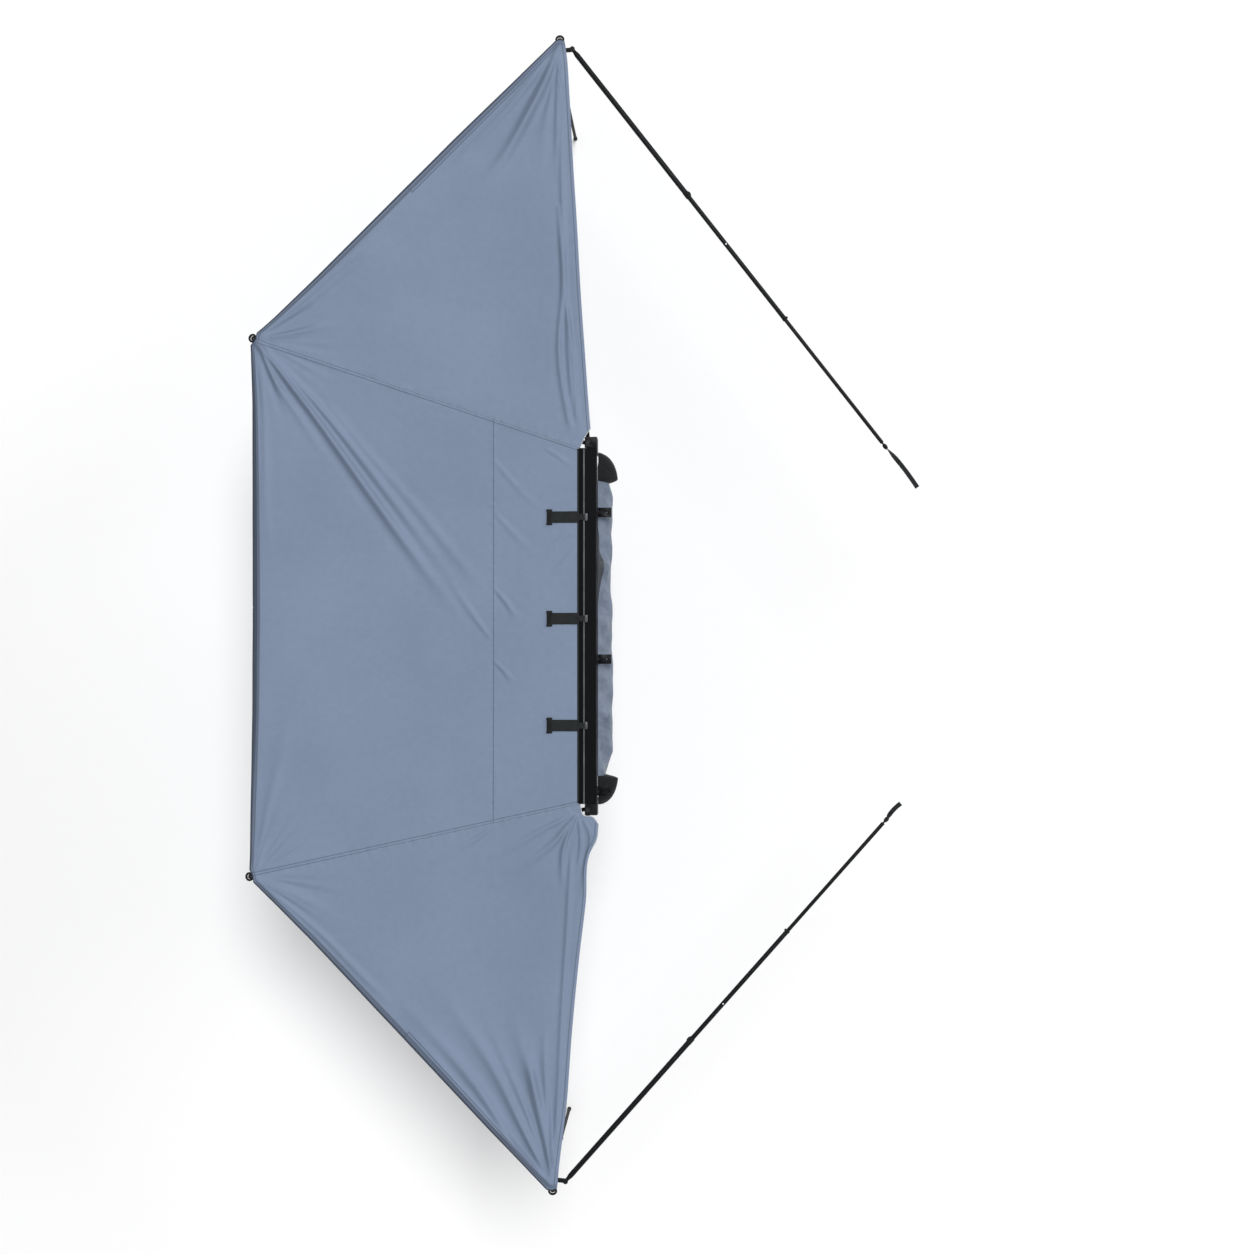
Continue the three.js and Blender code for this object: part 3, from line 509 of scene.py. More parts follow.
for name, arm in arms.items():
    side, length = arm["side"], arm["length"]
    body = turned([
        (-tip_length, 0.0085, 0.0105), (-tip_length, 0.0114, 0.0134), (-tip_length + 0.012, 0.0114, 0.0134),
        (-tip_length + 0.013, 0.0104, 0.0124), (-0.080, 0.0104, 0.0124), (-0.079, 0.0113, 0.0128),
        (-0.046, 0.0113, 0.0128), (-0.045, 0.0104, 0.0120), (-0.034, 0.0104, 0.0115),
        (-0.024, 0.0150, 0.0066), (-0.016, 0.0185, 0.0056), (-0.012, 0.0150, 0.0052),
        (-0.012, 0.0060, 0.0045)], 0.0016, "x", 56, 6.0)
    bend = np.linspace(-0.62 * math.pi, 0.62 * math.pi, 25)
    arc = np.stack([0.0165 * np.cos(bend) - 0.0060, 0.0190 * np.sin(bend), 0 * bend], axis=-1)
    lobe = np.vstack([(-0.034, -0.0105, 0), (-0.026, -0.0145, 0), arc, (-0.026, 0.0145, 0),
                      (-0.034, 0.0105, 0)])
    thick = np.interp(np.linspace(0, 1, len(lobe)), [0, 0.12, 0.5, 0.88, 1],
                      [0.0034, 0.0052, 0.0064, 0.0052, 0.0034])
    horseshoe = carried(lobe, thick, 0.0052, sides=14, power=2.6)
    web = moved(pipe(0.0062, 0.0150, -0.0022, 0.0022, 0.0006, sides=32), -eyelet_inset)
    neck = pin_head_reach - pin_head
    pin = solid([(0.0100, 0.0070), (0.0118, 0.0070), (0.0118, 0.0045), (neck, 0.0045), (neck, 0.0080),
                 (pin_head_reach, 0.0080)], 0.0006, "y")
    parts = [body, horseshoe, web, moved(swapped(pin, side=side), -hinge_inset)]
    if name.endswith("wing"):
        half = (stay_offset - 0.002) / 2
        wide, thick = stay_lug_width / 2, stay_lug / 2
        plate = solid([(-half, wide, thick), (half - 0.006, wide, thick), (half, wide - 0.005, thick)],
                      0.001, "y", 48, 8.0)
        plate = swapped(plate, (2, 1, 0), -side)
        parts.append(moved(plate, -hinge_inset, -side * (0.008 + half), thick - stay_radius))
        parts.append(moved(bar(0.004, 0.001 - stay_radius, 0.0085), -hinge_inset, -side * stay_offset))
    fitting = on_arm(joined(*parts), name, length)
    piece(f"{name}_fitting", fitting, moulded, arm["end"], [f"{name}_tip"])
    flange = [(0.0030, 0.0062), (0.0030, 0.0082), (0.0040, 0.0090), (0.0052, 0.0082), (0.0052, eyelet_radius)]
    rim = [(-along, radius) for along, radius in flange[::-1]] + flange
    rim += [(0.0, eyelet_radius - 0.0003), (-0.0052, eyelet_radius)]
    eyelet = on_arm(turned(rim, 0.0006, closed=True), name, length - eyelet_inset)
    piece(f"{name}_eyelet", eyelet, blackened, arm["end"])

# Each leg is two round tubes, the lower one sliding in the upper one, with a cam lever that locks them and a
# rubber foot. Its head is a barrel on the fitting's pin, and zinc plated studs set its height.
leg_length, lower_length, lower_radius, lower_rise = 1.000, 0.960, 0.0094, 0.0093
collar_length, foot_radius, foot_height = 0.034, 0.0120, 0.034
plated = spotted("zinc plated steel", (60.0, 4.0), (0.36, 0.37, 0.38, 1), (0.62, 0.63, 0.64, 1), (0.24, 0.22),
                 ((1.0, 2.0, (600.0, 600.0, 60.0)), 0.2, 0.0001), Metallic=1.0)
rubber, thread = finish_of("moulded rubber", Specular_IOR_Level=0.3)
dust = flecks(thread, 55.0, 5.0).between(0.45, 0.75)
colour = (dust * 0.55).blend((0.008, 0.008, 0.0085, 1), (0.070, 0.066, 0.060, 1))
dress(colour, 0.72 + dust * 0.2, bumped(thread, flecks(thread, 700.0), 0.4, 0.0004))


def cam_lever(radius, low, high):
    """The clamp round a tube: a band, a hinge barrel on its side and a curved lever that closes it."""
    middle, half, wide = (low + high) / 2, 0.31 * (high - low), min(0.0075, 0.42 * (high - low))
    band = pipe(radius - 0.003, radius + 0.0012, low, high, 0.001, sides=32)
    barrel = moved(bar(0.0035, middle - half, middle + half, 0.0008, sides=20), radius + 0.0016)
    length, share = 0.024, np.linspace(0, 1, 13)
    rows = np.stack([axle + length * share, 0.0022 + 0.0016 * np.sin(math.pi * share),
                     wide * (1 - 0.35 * share)], axis=1)
    rows = np.vstack([(axle, axle, axle), rows, (rows[-1, 0] + 0.0006, axle, axle)])
    points, faces = turned(rows, axis="x", sides=20, power=3.0)
    angle, out = 1.5 * points[:, 0] / length, radius + 0.0035 + points[:, 1]
    wrapped = np.stack([out * np.cos(angle), out * np.sin(angle), points[:, 2] + middle], axis=-1)
    return joined(band, barrel, outward(wrapped, faces))


for name, arm in arms.items():
    side = arm["side"]
    total = -ground + arm["height"]
    at_leg = (arm["length"] - hinge_inset, side * leg_offset)
    head = turned([(-leg_radius, 0.0050), (-leg_radius, 0.0098), (-0.0085, leg_radius), (0.0085, leg_radius),
                   (leg_radius, 0.0098), (leg_radius, 0.0050)], 0.0008, "y", 40, closed=True)
    neck = turned([(-0.046, 0.0095), (-0.046, 0.0112), (-0.020, 0.0112), (-0.006, 0.0085), (-0.006, axle)],
                  0.002, sides=40)
    tube = pipe(lower_radius + gap, leg_radius - 0.0002, -leg_length, -0.030)
    upper = on_arm(joined(head, neck, tube), name, *at_leg)
    piece(f"{name}_leg_sleeve", upper, black_coat, f"{name}_leg", [f"{name}_leg_upper"])
    clamp = swapped(cam_lever(leg_radius, gap - leg_length, collar_length - leg_length), side=side)
    piece(f"{name}_leg_clamp", on_arm(clamp, name, *at_leg), moulded, f"{name}_leg")
    low = lower_rise - total
    lower = on_arm(bar(lower_radius, low, low + lower_length, 0.0006, sides=36), name, *at_leg)
    piece(f"{name}_leg_inner_tube", lower, dark_metal, f"{name}_leg_foot",
          [f"{name}_leg_lower"])
    stud = turned([(0, axle), (0, 0.0028), (0.0016, 0.0022), (0.0020, axle)], 0.0006, "x", 20)
    studs = joined(*(moved(stud, lower_radius - 0.0004, 0, low + 0.120 + 0.160 * number)
                     for number in range(3)))
    piece(f"{name}_leg_studs", on_arm(studs, name, *at_leg), plated, f"{name}_leg_foot")
    rows = [(0.0, foot_radius), (0.006, foot_radius - 0.0002), (0.010, foot_radius - 0.0010)]
    for rib in np.arange(4) * 0.005:
        rows += [(0.0120 + rib, foot_radius - 0.0012), (0.0135 + rib, foot_radius - 0.0003),
                 (0.0155 + rib, foot_radius - 0.0003)]
    rows += [(foot_height, foot_radius - 0.0012), (foot_height, lower_radius + 0.0002),
             (foot_height - 0.003, lower_radius - 0.0002)]
    foot = on_arm(solid(rows, 0.0008, sides=40), name, *at_leg, -total)
    piece(f"{name}_leg_shoe", foot, rubber, f"{name}_leg_foot", [f"{name}_leg_foot"])

# Two telescopic stays pull the wing corners towards the far side of the rack. Each is three round tubes with
# a clamp at each step, an end plug with an eye, and the webbing that ties it to the rack.
stays = {
    "front_stay": {"arm": "front_wing", "length": 2.666, "angle": -52.15, "strap": 0.270},
    "rear_stay": {"arm": "rear_wing", "length": 2.525, "angle": 48.4, "strap": 0.110},
}
stay_tubes = {"outer": 1.000, "middle": 0.960, "inner": 0.950}
middle_radius, inner_radius, eye_length = 0.0120, 0.0100, 0.034
stud_places = {"front_stay": 1.315, "rear_stay": 1.240}
webbing, thread = finish_of("black webbing", Sheen_Weight=0.06, Specular_IOR_Level=0.12)
_, run, over = map_of(thread, "weave")
ribs = run.wave(1900.0) * over.wave(1300.0)
wear = flecks(thread, 45.0, 4.0)
colour = (wear * 0.7 + ribs * 0.15 + 0.1).blend((0.0085, 0.0095, 0.0100, 1), (0.030, 0.034, 0.036, 1))
dress(colour, 0.74 + wear * 0.16, bumped(thread, ribs, 0.5, 0.0005))


def run_of(path):
    """The distance along a path at each of its points."""
    return np.concatenate([[0], np.cumsum(np.linalg.norm(np.diff(path, axis=0), axis=1))])


def ribbon(path, width, thickness, up=(0, 0, 1), sides=24, power=5.0):
    """A flat strap along a path, and the distances along and across it for its weave."""
    over = ring_of(sides, power)[0] * width / 2
    weave = np.stack(np.meshgrid(run_of(path), over, indexing="ij"), axis=-1).reshape(-1, 2)
    return carried(path, width / 2, thickness / 2, up, sides, power), weave


for name, stay in stays.items():
    arm = arms[stay["arm"]]
    pivot = (np.zeros((1, 3)), [])
    foot = on_arm(pivot, stay["arm"], arm["length"] - hinge_inset, -arm["side"] * stay_offset)[0][0]

    def on_stay(shape):
        return moved(shape, *foot, stay["angle"])

    lap = (sum(stay_tubes.values()) + eye_length - stay["length"]) / 2
    outer_end = stay_tubes["outer"]
    middle_start = outer_end - lap
    middle_end = middle_start + stay_tubes["middle"]
    inner_start = middle_end - lap
    inner_end = inner_start + stay_tubes["inner"]
    head = pipe(0.0042, stay_radius - 0.0005, -0.0082, 0.0085, 0.0015, sides=36)
    neck = solid([(0.0062, 0.0090, 0.0074), (0.022, 0.0100, 0.0080), (0.034, 0.0132, 0.0132),
                  (0.052, 0.0134, 0.0134)], 0.003, "x", 40)
    tube = pipe(middle_radius + 0.0004, stay_radius, 0.040, outer_end, axis="x")
    outer = on_stay(joined(head, neck, tube))
    piece(f"{name}_thick_tube", outer, black_coat, name, [f"{name}_outer"])
    middle = pipe(inner_radius + 0.0004, middle_radius, middle_start, middle_end, axis="x")
    piece(f"{name}_middle_tube", on_stay(middle), black_coat, f"{name}_mid",
          [f"{name}_middle"])
    inner = pipe(0.0078, inner_radius, inner_start, inner_end, axis="x", sides=36)
    piece(f"{name}_thin_tube", on_stay(inner), black_coat, f"{name}_end",
          [f"{name}_inner"])
    for radius, end, long, rides in ((stay_radius, outer_end, 0.034, name),
                                     (middle_radius, middle_end, 0.0142, f"{name}_mid")):
        clamp = moved(swapped(cam_lever(radius, -long, 0.001), (2, 0, 1)), end)
        piece(f"{rides}_clamp", on_stay(clamp), moulded, rides)
    stud = turned([(0, axle), (0, 0.0045), (0.0016, 0.0038), (0.0021, axle)], 0.0006, sides=24)
    stud = moved(stud, stud_places[name], 0, middle_radius - 0.0003)
    piece(f"{name}_stud", on_stay(stud), plated, f"{name}_mid")
    plug = solid([(-0.024, 0.0080, 0.0080), (0.0003, 0.0080, 0.0080), (0.0003, 0.0104, 0.0104),
                  (0.0050, 0.0104, 0.0104), (0.0100, 0.0046, 0.0100), (0.0175, 0.0040, 0.0100)],
                 0.0015, "x", 40, 2.6)
    loop = moved(pipe(0.0060, 0.0098, -0.0040, 0.0040, 0.0016, "y"), eye_length - ring_radius)
    eye = on_stay(moved(joined(plug, loop), inner_end))
    piece(f"{name}_eye_plug", eye, moulded, f"{name}_end", [f"{name}_eye"])
    reach, tip = stay["strap"], inner_end + eye_length
    eye_x, tail_start = tip - ring_radius, tip + gap
    share = np.linspace(0, 1, 40)[:, None]
    path = np.hstack([tail_start + share * reach, 0.006 * np.sin(math.pi * share), 0 * share])
    twist = math.pi / 2 * np.clip(share * 3.2, 0, 1)
    tail, weave = ribbon(path, 0.024, 0.0017, np.hstack([0 * share, np.cos(twist), np.sin(twist)]))
    turn = np.linspace(0, 2 * math.pi, 41)
    loop_path = np.stack([eye_x + 0.0085 + 0.0115 * np.cos(turn), 0.0052 * np.sin(turn), 0 * turn], axis=-1)
    band, band_weave = ribbon(loop_path, 0.0120, 0.0015)
    lashing = on_stay(joined(tail, band))
    piece(f"{name}_lashing", lashing, webbing, f"{name}_end", [f"{name}_strap"],
          maps={"weave": np.vstack([weave, band_weave])})
    buckle = turned([(-0.0022, 0.0105, 0.0055), (-0.0022, 0.0150, 0.0085), (0.0022, 0.0150, 0.0085),
                     (0.0022, 0.0105, 0.0055)], 0.001, "x", 48, 4.0, closed=True)
    buckle = moved(swapped(buckle, (0, 2, 1)), tail_start + 0.38 * reach, 0.006)
    piece(f"{name}_buckle", on_stay(buckle), moulded, f"{name}_end")

# The canopy is coated woven polyester in a grey blue, three panels with double stitched seams over the main
# arms. It is stretched from the case's rail to the four fittings, so that folds run out from its corners.
cloth_thickness, corner_cut, corner_lift = 0.0009, 0.026, 0.0139
cloth_sag, strip_seam_x = 0.016, -0.5425
main_seam_start = (-roof_reach - 0.0003, 0.932, rail_height)


def cloth_corner(arm):
    """Where the cloth's corner lies: on the arm's centre line, just short of its eyelet, over the fitting."""
    row = arms[arm]
    turn = math.radians(row["angle"])
    reach = row["length"] - corner_cut
    return np.array([hub_x + reach * math.cos(turn), row["side"] * half_hubs + reach * math.sin(turn),
                     row["height"] + corner_lift])


def smooth(value, low, high):
    """0 below low, 1 above high, with a smooth step between."""
    share = np.clip((value - low) / (high - low), 0, 1)
    return share * share * (3 - 2 * share)


def curve(points):
    """A smooth curve through some points, as a function of its share of the length from 0 to 1: a cubic
    between each two, whose slope at each point is that of the line between its neighbours."""
    points = np.asarray(points, float)
    run = run_of(points)
    slope = np.gradient(points, run, axis=0)

    def at(share):
        length = np.clip(share, 0, 1) * run[-1]
        left = np.clip(np.searchsorted(run, length, side="right") - 1, 0, len(run) - 2)
        span = (run[left + 1] - run[left])[..., None]
        t = (length - run[left])[..., None] / span
        return ((2 * t ** 3 - 3 * t ** 2 + 1) * points[left] + (t ** 3 - 2 * t ** 2 + t) * span * slope[left]
                + (3 * t ** 2 - 2 * t ** 3) * points[left + 1] + (t ** 3 - t ** 2) * span * slope[left + 1])
    return at


def straight(first, last):
    """The line between two points, as a function of its share."""
    first, last = np.asarray(first, float), np.asarray(last, float)
    return lambda share: first + np.asarray(share, float)[..., None] * (last - first)


def hemmed(first, last, side, cut):
    """An outer hem between two corners: the line between them, moved out to a side (1 or -1) of its direction
    by the cut's width, which is given at shares of the length and read off in straight lines between them."""
    line = np.asarray(last, float) - np.asarray(first, float)
    outward_turn = np.array([line[1], -line[0], 0]) / np.hypot(line[0], line[1]) * side
    shares, widths = np.array(cut).T

    def at(share):
        return straight(first, last)(share) + outward_turn * np.interp(share, shares, widths)[..., None]
    return at


def patch(near, far, first, last):
    """A surface of (u, v) inside four edges: the two blends between facing edges, less the flat one between
    the corners. near and far run along v at u = 0 and 1; first and last run along u at v = 0 and 1."""
    def at(u, v):
        s, t = u[..., None], v[..., None]
        ruled = (1 - t) * first(u) + t * last(u) + (1 - s) * near(v) + s * far(v)
        zero, one = np.zeros_like(u), np.ones_like(u)
        flat = ((1 - s) * ((1 - t) * near(zero) + t * near(one)) + s * ((1 - t) * far(zero) + t * far(one)))
        return ruled - flat
    return at


def distance_to(points, path):
    """How far points seen from above are from a path, and how far along the path they are nearest to it."""
    path = np.asarray(path, float)[:, :2]
    best = np.full(points.shape[:-1], 1e9)
    where = np.zeros_like(best)
    for start, step, before in zip(path[:-1], np.diff(path, axis=0), run_of(path)):
        length = np.linalg.norm(step)
        offset = points[..., :2] - start
        share = np.clip((offset @ step) / length ** 2, 0, 1)
        apart = np.linalg.norm(offset - share[..., None] * step, axis=-1)
        closer = apart < best
        best = np.where(closer, apart, best)
        where = np.where(closer, before + share * length, where)
    return best, where


def folds_height(points, folds):
    """The height that folds add: each is a round ridge along a path with a shallow valley on both sides. It
    is given as its path, its width at the start and the end, its rise and the share where it begins to die
    away."""
    height = np.zeros(points.shape[:-1])
    for path, start_width, end_width, rise, fade in folds:
        fine = curve(path)(np.linspace(0, 1, 14))
        apart, where = distance_to(points, fine)
        share = where / run_of(fine)[-1]
        width = start_width + (end_width - start_width) * share
        strength = (0.50 + 0.50 * smooth(share, 0, 0.20)) * (1 - smooth(share, fade, 1.0))
        ridge = np.exp(-(apart / width) ** 2) - 0.14 * np.exp(-((apart - 2.2 * width) / width) ** 2)
        height += rise * strength * ridge
    return height


def pleats(points, corner, seed, rise=0.0074, reach=0.55):
    """The fine pleats that fan out from a corner: three sine waves of the angle round it, whose height grows
    with the distance and then dies away."""
    random = np.random.RandomState(seed)
    away = points[..., :2] - corner[:2]
    distance, angle = np.hypot(away[..., 0], away[..., 1]), np.arctan2(away[..., 1], away[..., 0])
    height = np.zeros(distance.shape)
    for waves, share in ((17.0, 0.8), (29.0, 1.0), (47.0, 0.5)):
        height += share * np.sin(waves * angle + random.uniform(0, 2 * math.pi))
    return rise * distance * height * smooth(distance, 0.015, 0.06) * (1 - smooth(distance, 0.08, reach))


def slack(points, seed, amount, lengths, count=14):
    """Faint unevenness: a sum of plane waves in every direction, with fixed random phases."""
    random = np.random.RandomState(seed)
    height = np.zeros(points.shape[:-1])
    for _ in range(count):
        turn, phase = random.uniform(0, 2 * math.pi, 2)
        wave = 2 * math.pi / random.uniform(*lengths)
        height += np.sin(wave * (points[..., 0] * math.cos(turn) + points[..., 1] * math.sin(turn)) + phase)
    return amount * height / math.sqrt(count)


def puckers(along, seed):
    """The small waves that stitching leaves along a seam: three sine waves of 30 to 90 mm."""
    waves = np.sin(along * 78 + seed) + 0.7 * np.sin(along * 131 + 2 * seed) + 0.5 * np.sin(along * 190)
    return 0.0007 * waves


# The routes of the folds lie in the level plane. Most start where the cloth is pulled: at the fittings, the
# hubs, the straps and the middle panel's cross seam.
front_wing_folds = [
    ([(-0.19, 3.06), (-0.38, 2.82), (-0.66, 2.52), (-0.94, 2.23)], 0.010, 0.030, 0.0060, 0.5),
    ([(-0.19, 3.06), (-0.33, 2.73), (-0.57, 2.36), (-0.94, 2.02)], 0.012, 0.045, 0.0075, 0.4),
    ([(-0.19, 3.06), (-0.26, 2.88), (-0.41, 2.60), (-0.60, 2.24)], 0.012, 0.040, 0.0085, 0.4),
    ([(-0.18, 3.06), (-0.23, 2.82), (-0.27, 2.60), (-0.31, 2.31)], 0.010, 0.032, 0.0060, 0.4),
    ([(-0.18, 3.06), (-0.20, 2.82), (-0.205, 2.60), (-0.21, 2.31)], 0.008, 0.016, 0.0060, 0.6),
    ([(-0.17, 2.90), (-0.18, 2.60), (-0.17, 2.03), (-0.15, 1.56), (-0.12, 1.07)], 0.012, 0.014, 0.0052, 0.9),
    ([(-0.20, 2.20), (-0.175, 1.80), (-0.195, 1.42), (-0.13, 1.00)], 0.010, 0.016, 0.0060, 0.92),
    ([(-0.15, 1.66), (-0.115, 1.35), (-0.10, 1.05)], 0.010, 0.014, 0.0050, 0.9),
    ([(-1.80, 1.53), (-1.64, 1.64), (-1.37, 1.85), (-1.08, 2.08), (-0.89, 2.25)], 0.012, 0.045, 0.0080, 0.5),
    ([(-1.80, 1.525), (-1.61, 1.55), (-1.34, 1.64)], 0.012, 0.034, 0.0050, 0.4),
    ([(-1.80, 1.53), (-1.51, 1.785), (-1.25, 2.01), (-1.03, 2.20)], 0.008, 0.016, 0.0045, 0.7),
]
centre_folds = [
    ([(-1.80, 1.50), (-1.52, 1.15), (-1.23, 0.75), (-0.94, 0.35), (-0.64, -0.05)],
     0.012, 0.034, 0.0150, 0.52),
    ([(-1.79, 1.50), (-1.46, 1.15), (-1.14, 0.75), (-0.84, 0.35), (-0.65, 0.08)],
     0.012, 0.034, 0.0100, 0.50),
    ([(-1.41, 1.16), (-1.23, 0.94), (-0.95, 0.62), (-0.70, 0.32), (-0.50, 0.08)], 0.018, 0.030, 0.0050, 0.6),
    ([(-1.80, 1.50), (-1.73, 1.36), (-1.60, 1.12)], 0.011, 0.020, 0.0050, 0.4),
    ([(-1.80, 1.50), (-1.69, 1.28), (-1.53, 1.04), (-1.38, 0.80)], 0.011, 0.024, 0.0045, 0.4),
    ([(-1.81, 1.49), (-1.77, 1.20), (-1.75, 0.63), (-1.72, 0.20)], 0.010, 0.030, 0.0035, 0.5),
    ([(-0.53, 0.86), (-0.39, 0.70), (-0.25, 0.58)], 0.010, 0.020, 0.0024, 0.4),
    ([(-0.53, 0.59), (-0.42, 0.47), (-0.30, 0.35)], 0.010, 0.022, 0.0026, 0.4),
    ([(-0.53, 0.19), (-0.47, 0.12), (-0.40, 0.01)], 0.008, 0.018, 0.0050, 0.4),
    ([(-0.53, -0.19), (-0.48, -0.24), (-0.42, -0.32)], 0.007, 0.016, 0.0045, 0.4),
    ([(-0.27, 0.93), (-0.20, 0.89), (-0.12, 0.82)], 0.008, 0.014, 0.0028, 0.5),
    ([(-1.80, -1.29), (-1.72, -0.90), (-1.62, -0.48), (-1.52, -0.20)], 0.012, 0.050, 0.0045, 0.4),
    ([(-0.56, -0.06), (-0.65, 0.06), (-0.81, 0.30)], 0.010, 0.022, 0.0040, 0.4),
    ([(-0.10, 0.50), (-0.18, 0.46), (-0.30, 0.36)], 0.008, 0.016, 0.0030, 0.4),
    ([(-0.10, 0.42), (-0.20, 0.30), (-0.34, 0.20)], 0.010, 0.020, 0.0030, 0.4),
]
rear_wing_folds = [
    ([(-0.23, -2.93), (-0.29, -2.52), (-0.39, -2.20), (-0.47, -1.90)], 0.011, 0.036, 0.0095, 0.42),
    ([(-0.24, -2.91), (-0.37, -2.65), (-0.57, -2.26), (-0.72, -2.05), (-0.88, -1.82)],
     0.012, 0.042, 0.0105, 0.4),
    ([(-0.24, -2.91), (-0.39, -2.76), (-0.65, -2.38), (-0.91, -2.09), (-1.15, -1.86)],
     0.012, 0.040, 0.0095, 0.45),
    ([(-0.22, -2.91), (-0.27, -2.70), (-0.335, -2.38), (-0.35, -2.05)], 0.010, 0.026, 0.0080, 0.45),
    ([(-0.24, -2.88), (-0.33, -2.62), (-0.48, -2.28), (-0.60, -2.00)], 0.010, 0.026, 0.0070, 0.4),
    ([(-0.225, -2.88), (-0.25, -2.60), (-0.27, -2.30), (-0.27, -1.95)], 0.009, 0.020, 0.0060, 0.45),
    ([(-0.22, -2.86), (-0.20, -2.45), (-0.18, -2.02), (-0.15, -1.55), (-0.13, -1.16)],
     0.010, 0.014, 0.0050, 0.92),
    ([(-0.25, -2.90), (-0.48, -2.68), (-0.77, -2.36), (-1.02, -2.06)], 0.010, 0.026, 0.0060, 0.6),
    ([(-1.80, -1.33), (-1.66, -1.40), (-1.49, -1.48), (-1.30, -1.60)], 0.012, 0.045, 0.0070, 0.4),
    ([(-1.80, -1.34), (-1.44, -1.63), (-1.23, -1.84), (-1.04, -2.02)], 0.009, 0.020, 0.0050, 0.75),
    ([(-0.11, -0.99), (-0.22, -1.13), (-0.35, -1.23), (-0.52, -1.32)], 0.010, 0.030, 0.0070, 0.35),
    ([(-0.11, -1.00), (-0.17, -1.16), (-0.17, -1.42)], 0.008, 0.018, 0.0065, 0.5),
    ([(-0.54, -1.05), (-0.64, -1.12), (-0.77, -1.19)], 0.010, 0.020, 0.0045, 0.4),
    ([(-0.13, -0.985), (-0.29, -1.07), (-0.47, -1.17), (-0.62, -1.24)], 0.010, 0.026, 0.0050, 0.4),
    ([(-0.06, -1.02), (-0.03, -1.09), (-0.055, -1.24), (-0.07, -1.45)], 0.008, 0.016, 0.0060, 0.6),
    ([(-0.09, -1.02), (-0.08, -1.12), (-0.10, -1.30)], 0.006, 0.012, 0.0045, 0.5),
]

hem_row, centre_mark = 0.0165, 10.0
pocket_end_at, pocket_edge_at = 1.142, 0.0300
# Two painted shade colours for the turned-down hem and its rolled rim.
hem_shade_colour, deeper_hem_shade_colour = (0.050, 0.066, 0.104, 1), (0.030, 0.040, 0.062, 1)
canopy_cloth, thread = finish_of("grey blue coated cloth", Specular_IOR_Level=0.35, Sheen_Weight=0.06)
place, warp, weft = map_of(thread, "weave")
cloud = noise(thread, place, 1.6, 4.0)
mottle = noise(thread, place, 26.0, 5.0, 0.6)
crumple = noise(thread, place, 6.5, 3.0, 0.45)


def stitched(thread, edge, rows):
    """Rows of stitching beside an edge: the distances from it and along it, the sunk line that the thread
    pulls down, and the stitches themselves."""
    _, far, along = map_of(thread, edge)
    lines = [far.line_at(row, 0.0010, 0.0036) for row in rows]
    dashes = [far.line_at(row, 0.0004, 0.0008) * along.wave(1250.0).between(-0.5, -0.2) for row in rows]
    return far, along, lines[0].largest(*lines[1:]), dashes[0].largest(*dashes[1:])


seam_far, seam_along, seam_sunk, seam_sewn = stitched(thread, "seam", (0.0012, 0.0170))
hem_far, hem_along, hem_sunk, hem_sewn = stitched(thread, "hem", (hem_row,))
side_far, _, side_sunk, side_sewn = stitched(thread, "side", (hem_row,))
pocket_edge = hem_far.line_at(pocket_edge_at, 0.0008, 0.0034) * hem_along.below(1.145, 1.150)
pocket_end = hem_along.line_at(pocket_end_at, 0.0008, 0.0034) * hem_far.below(0.029, 0.031)
sunk = seam_sunk.largest(hem_sunk, side_sunk, pocket_edge, pocket_end)
sewn = seam_sewn.largest(hem_sewn, side_sewn)
bands = seam_far.below(0.0182, 0.0192).largest(hem_far.below(0.0180, 0.0192), side_far.below(0.0182, 0.0192))
across = seam_along.node("CombineXYZ", None, {0: seam_along * 34.0, 1: seam_far * 9.0})
gather = noise(thread, across, 1.0, 2.0) * seam_far.below(0.004, 0.040)
lean = map_of(thread, "lean")[1]
patches = (cloud * 0.55 + mottle * 0.45).between(0.30, 0.70)
base = patches.blend((0.177, 0.229, 0.328, 1), (0.197, 0.253, 0.361, 1))
# Painted shade on the folds: the farther the cloth leans from the level, the darker its colour.
base = (lean.between(0.10, 0.62) * 0.46).blend(base, (0.085, 0.112, 0.168, 1))
# Painted shade in the sunk lines that the stitching pulls down along the seams, hem, side and pocket.
base = (sunk * 0.76).blend(base, (0.070, 0.092, 0.142, 1))

# The shade inside the hem is wider and darker on the centre panel, whose hem map starts at a mark of its own.
flank = hem_along.between(0.5 * centre_mark, 0.6 * centre_mark)
spread = hem_along - flank * centre_mark
middle = spread.between(0.02, 0.45) * spread.below(1.95, 2.45) * 0.75 + 0.25
# This band is painted shade, darker towards the middle of the hem's run.
band = (hem_far + flank * 0.0072).below(0.0200, 0.0225) * (0.20 + flank * 0.26) * middle
base = band.blend(base, hem_shade_colour)
# Painted shade: a dark line where the hem turns down, with a little of the hem's stitch groove.
hem_shade_line = (hem_far + flank * 0.0125).line_at(0.0215, 0.0010, 0.0036) * (0.45 + flank * 0.30) * middle
base = hem_shade_line.largest(hem_sunk * 0.25).blend(base, deeper_hem_shade_colour)
base = (sewn * 0.60).blend(base, (0.230, 0.280, 0.360, 1))
# Painted shade along the hem's rolled rim, wider where the hem turns down more.
base = (hem_far.below(0.0040, 0.0080) * 0.85).blend(base, deeper_hem_shade_colour)
fine = bumped(thread, warp.wave(5200.0) * weft.wave(5200.0), 0.30, 0.00012)
soft_folds = bumped(thread, crumple, 0.32, 0.008, fine)
layers = bumped(thread, bands - sunk * 0.9 + gather * 0.7, 0.75, 0.0011, soft_folds)
dress(base, 0.62 + mottle * 0.14, layers)


def normals_of(grid):
    """The cross products of a grid's two directions, whose lengths are the areas between its points."""
    return np.cross(np.gradient(grid, axis=0), np.gradient(grid, axis=1))


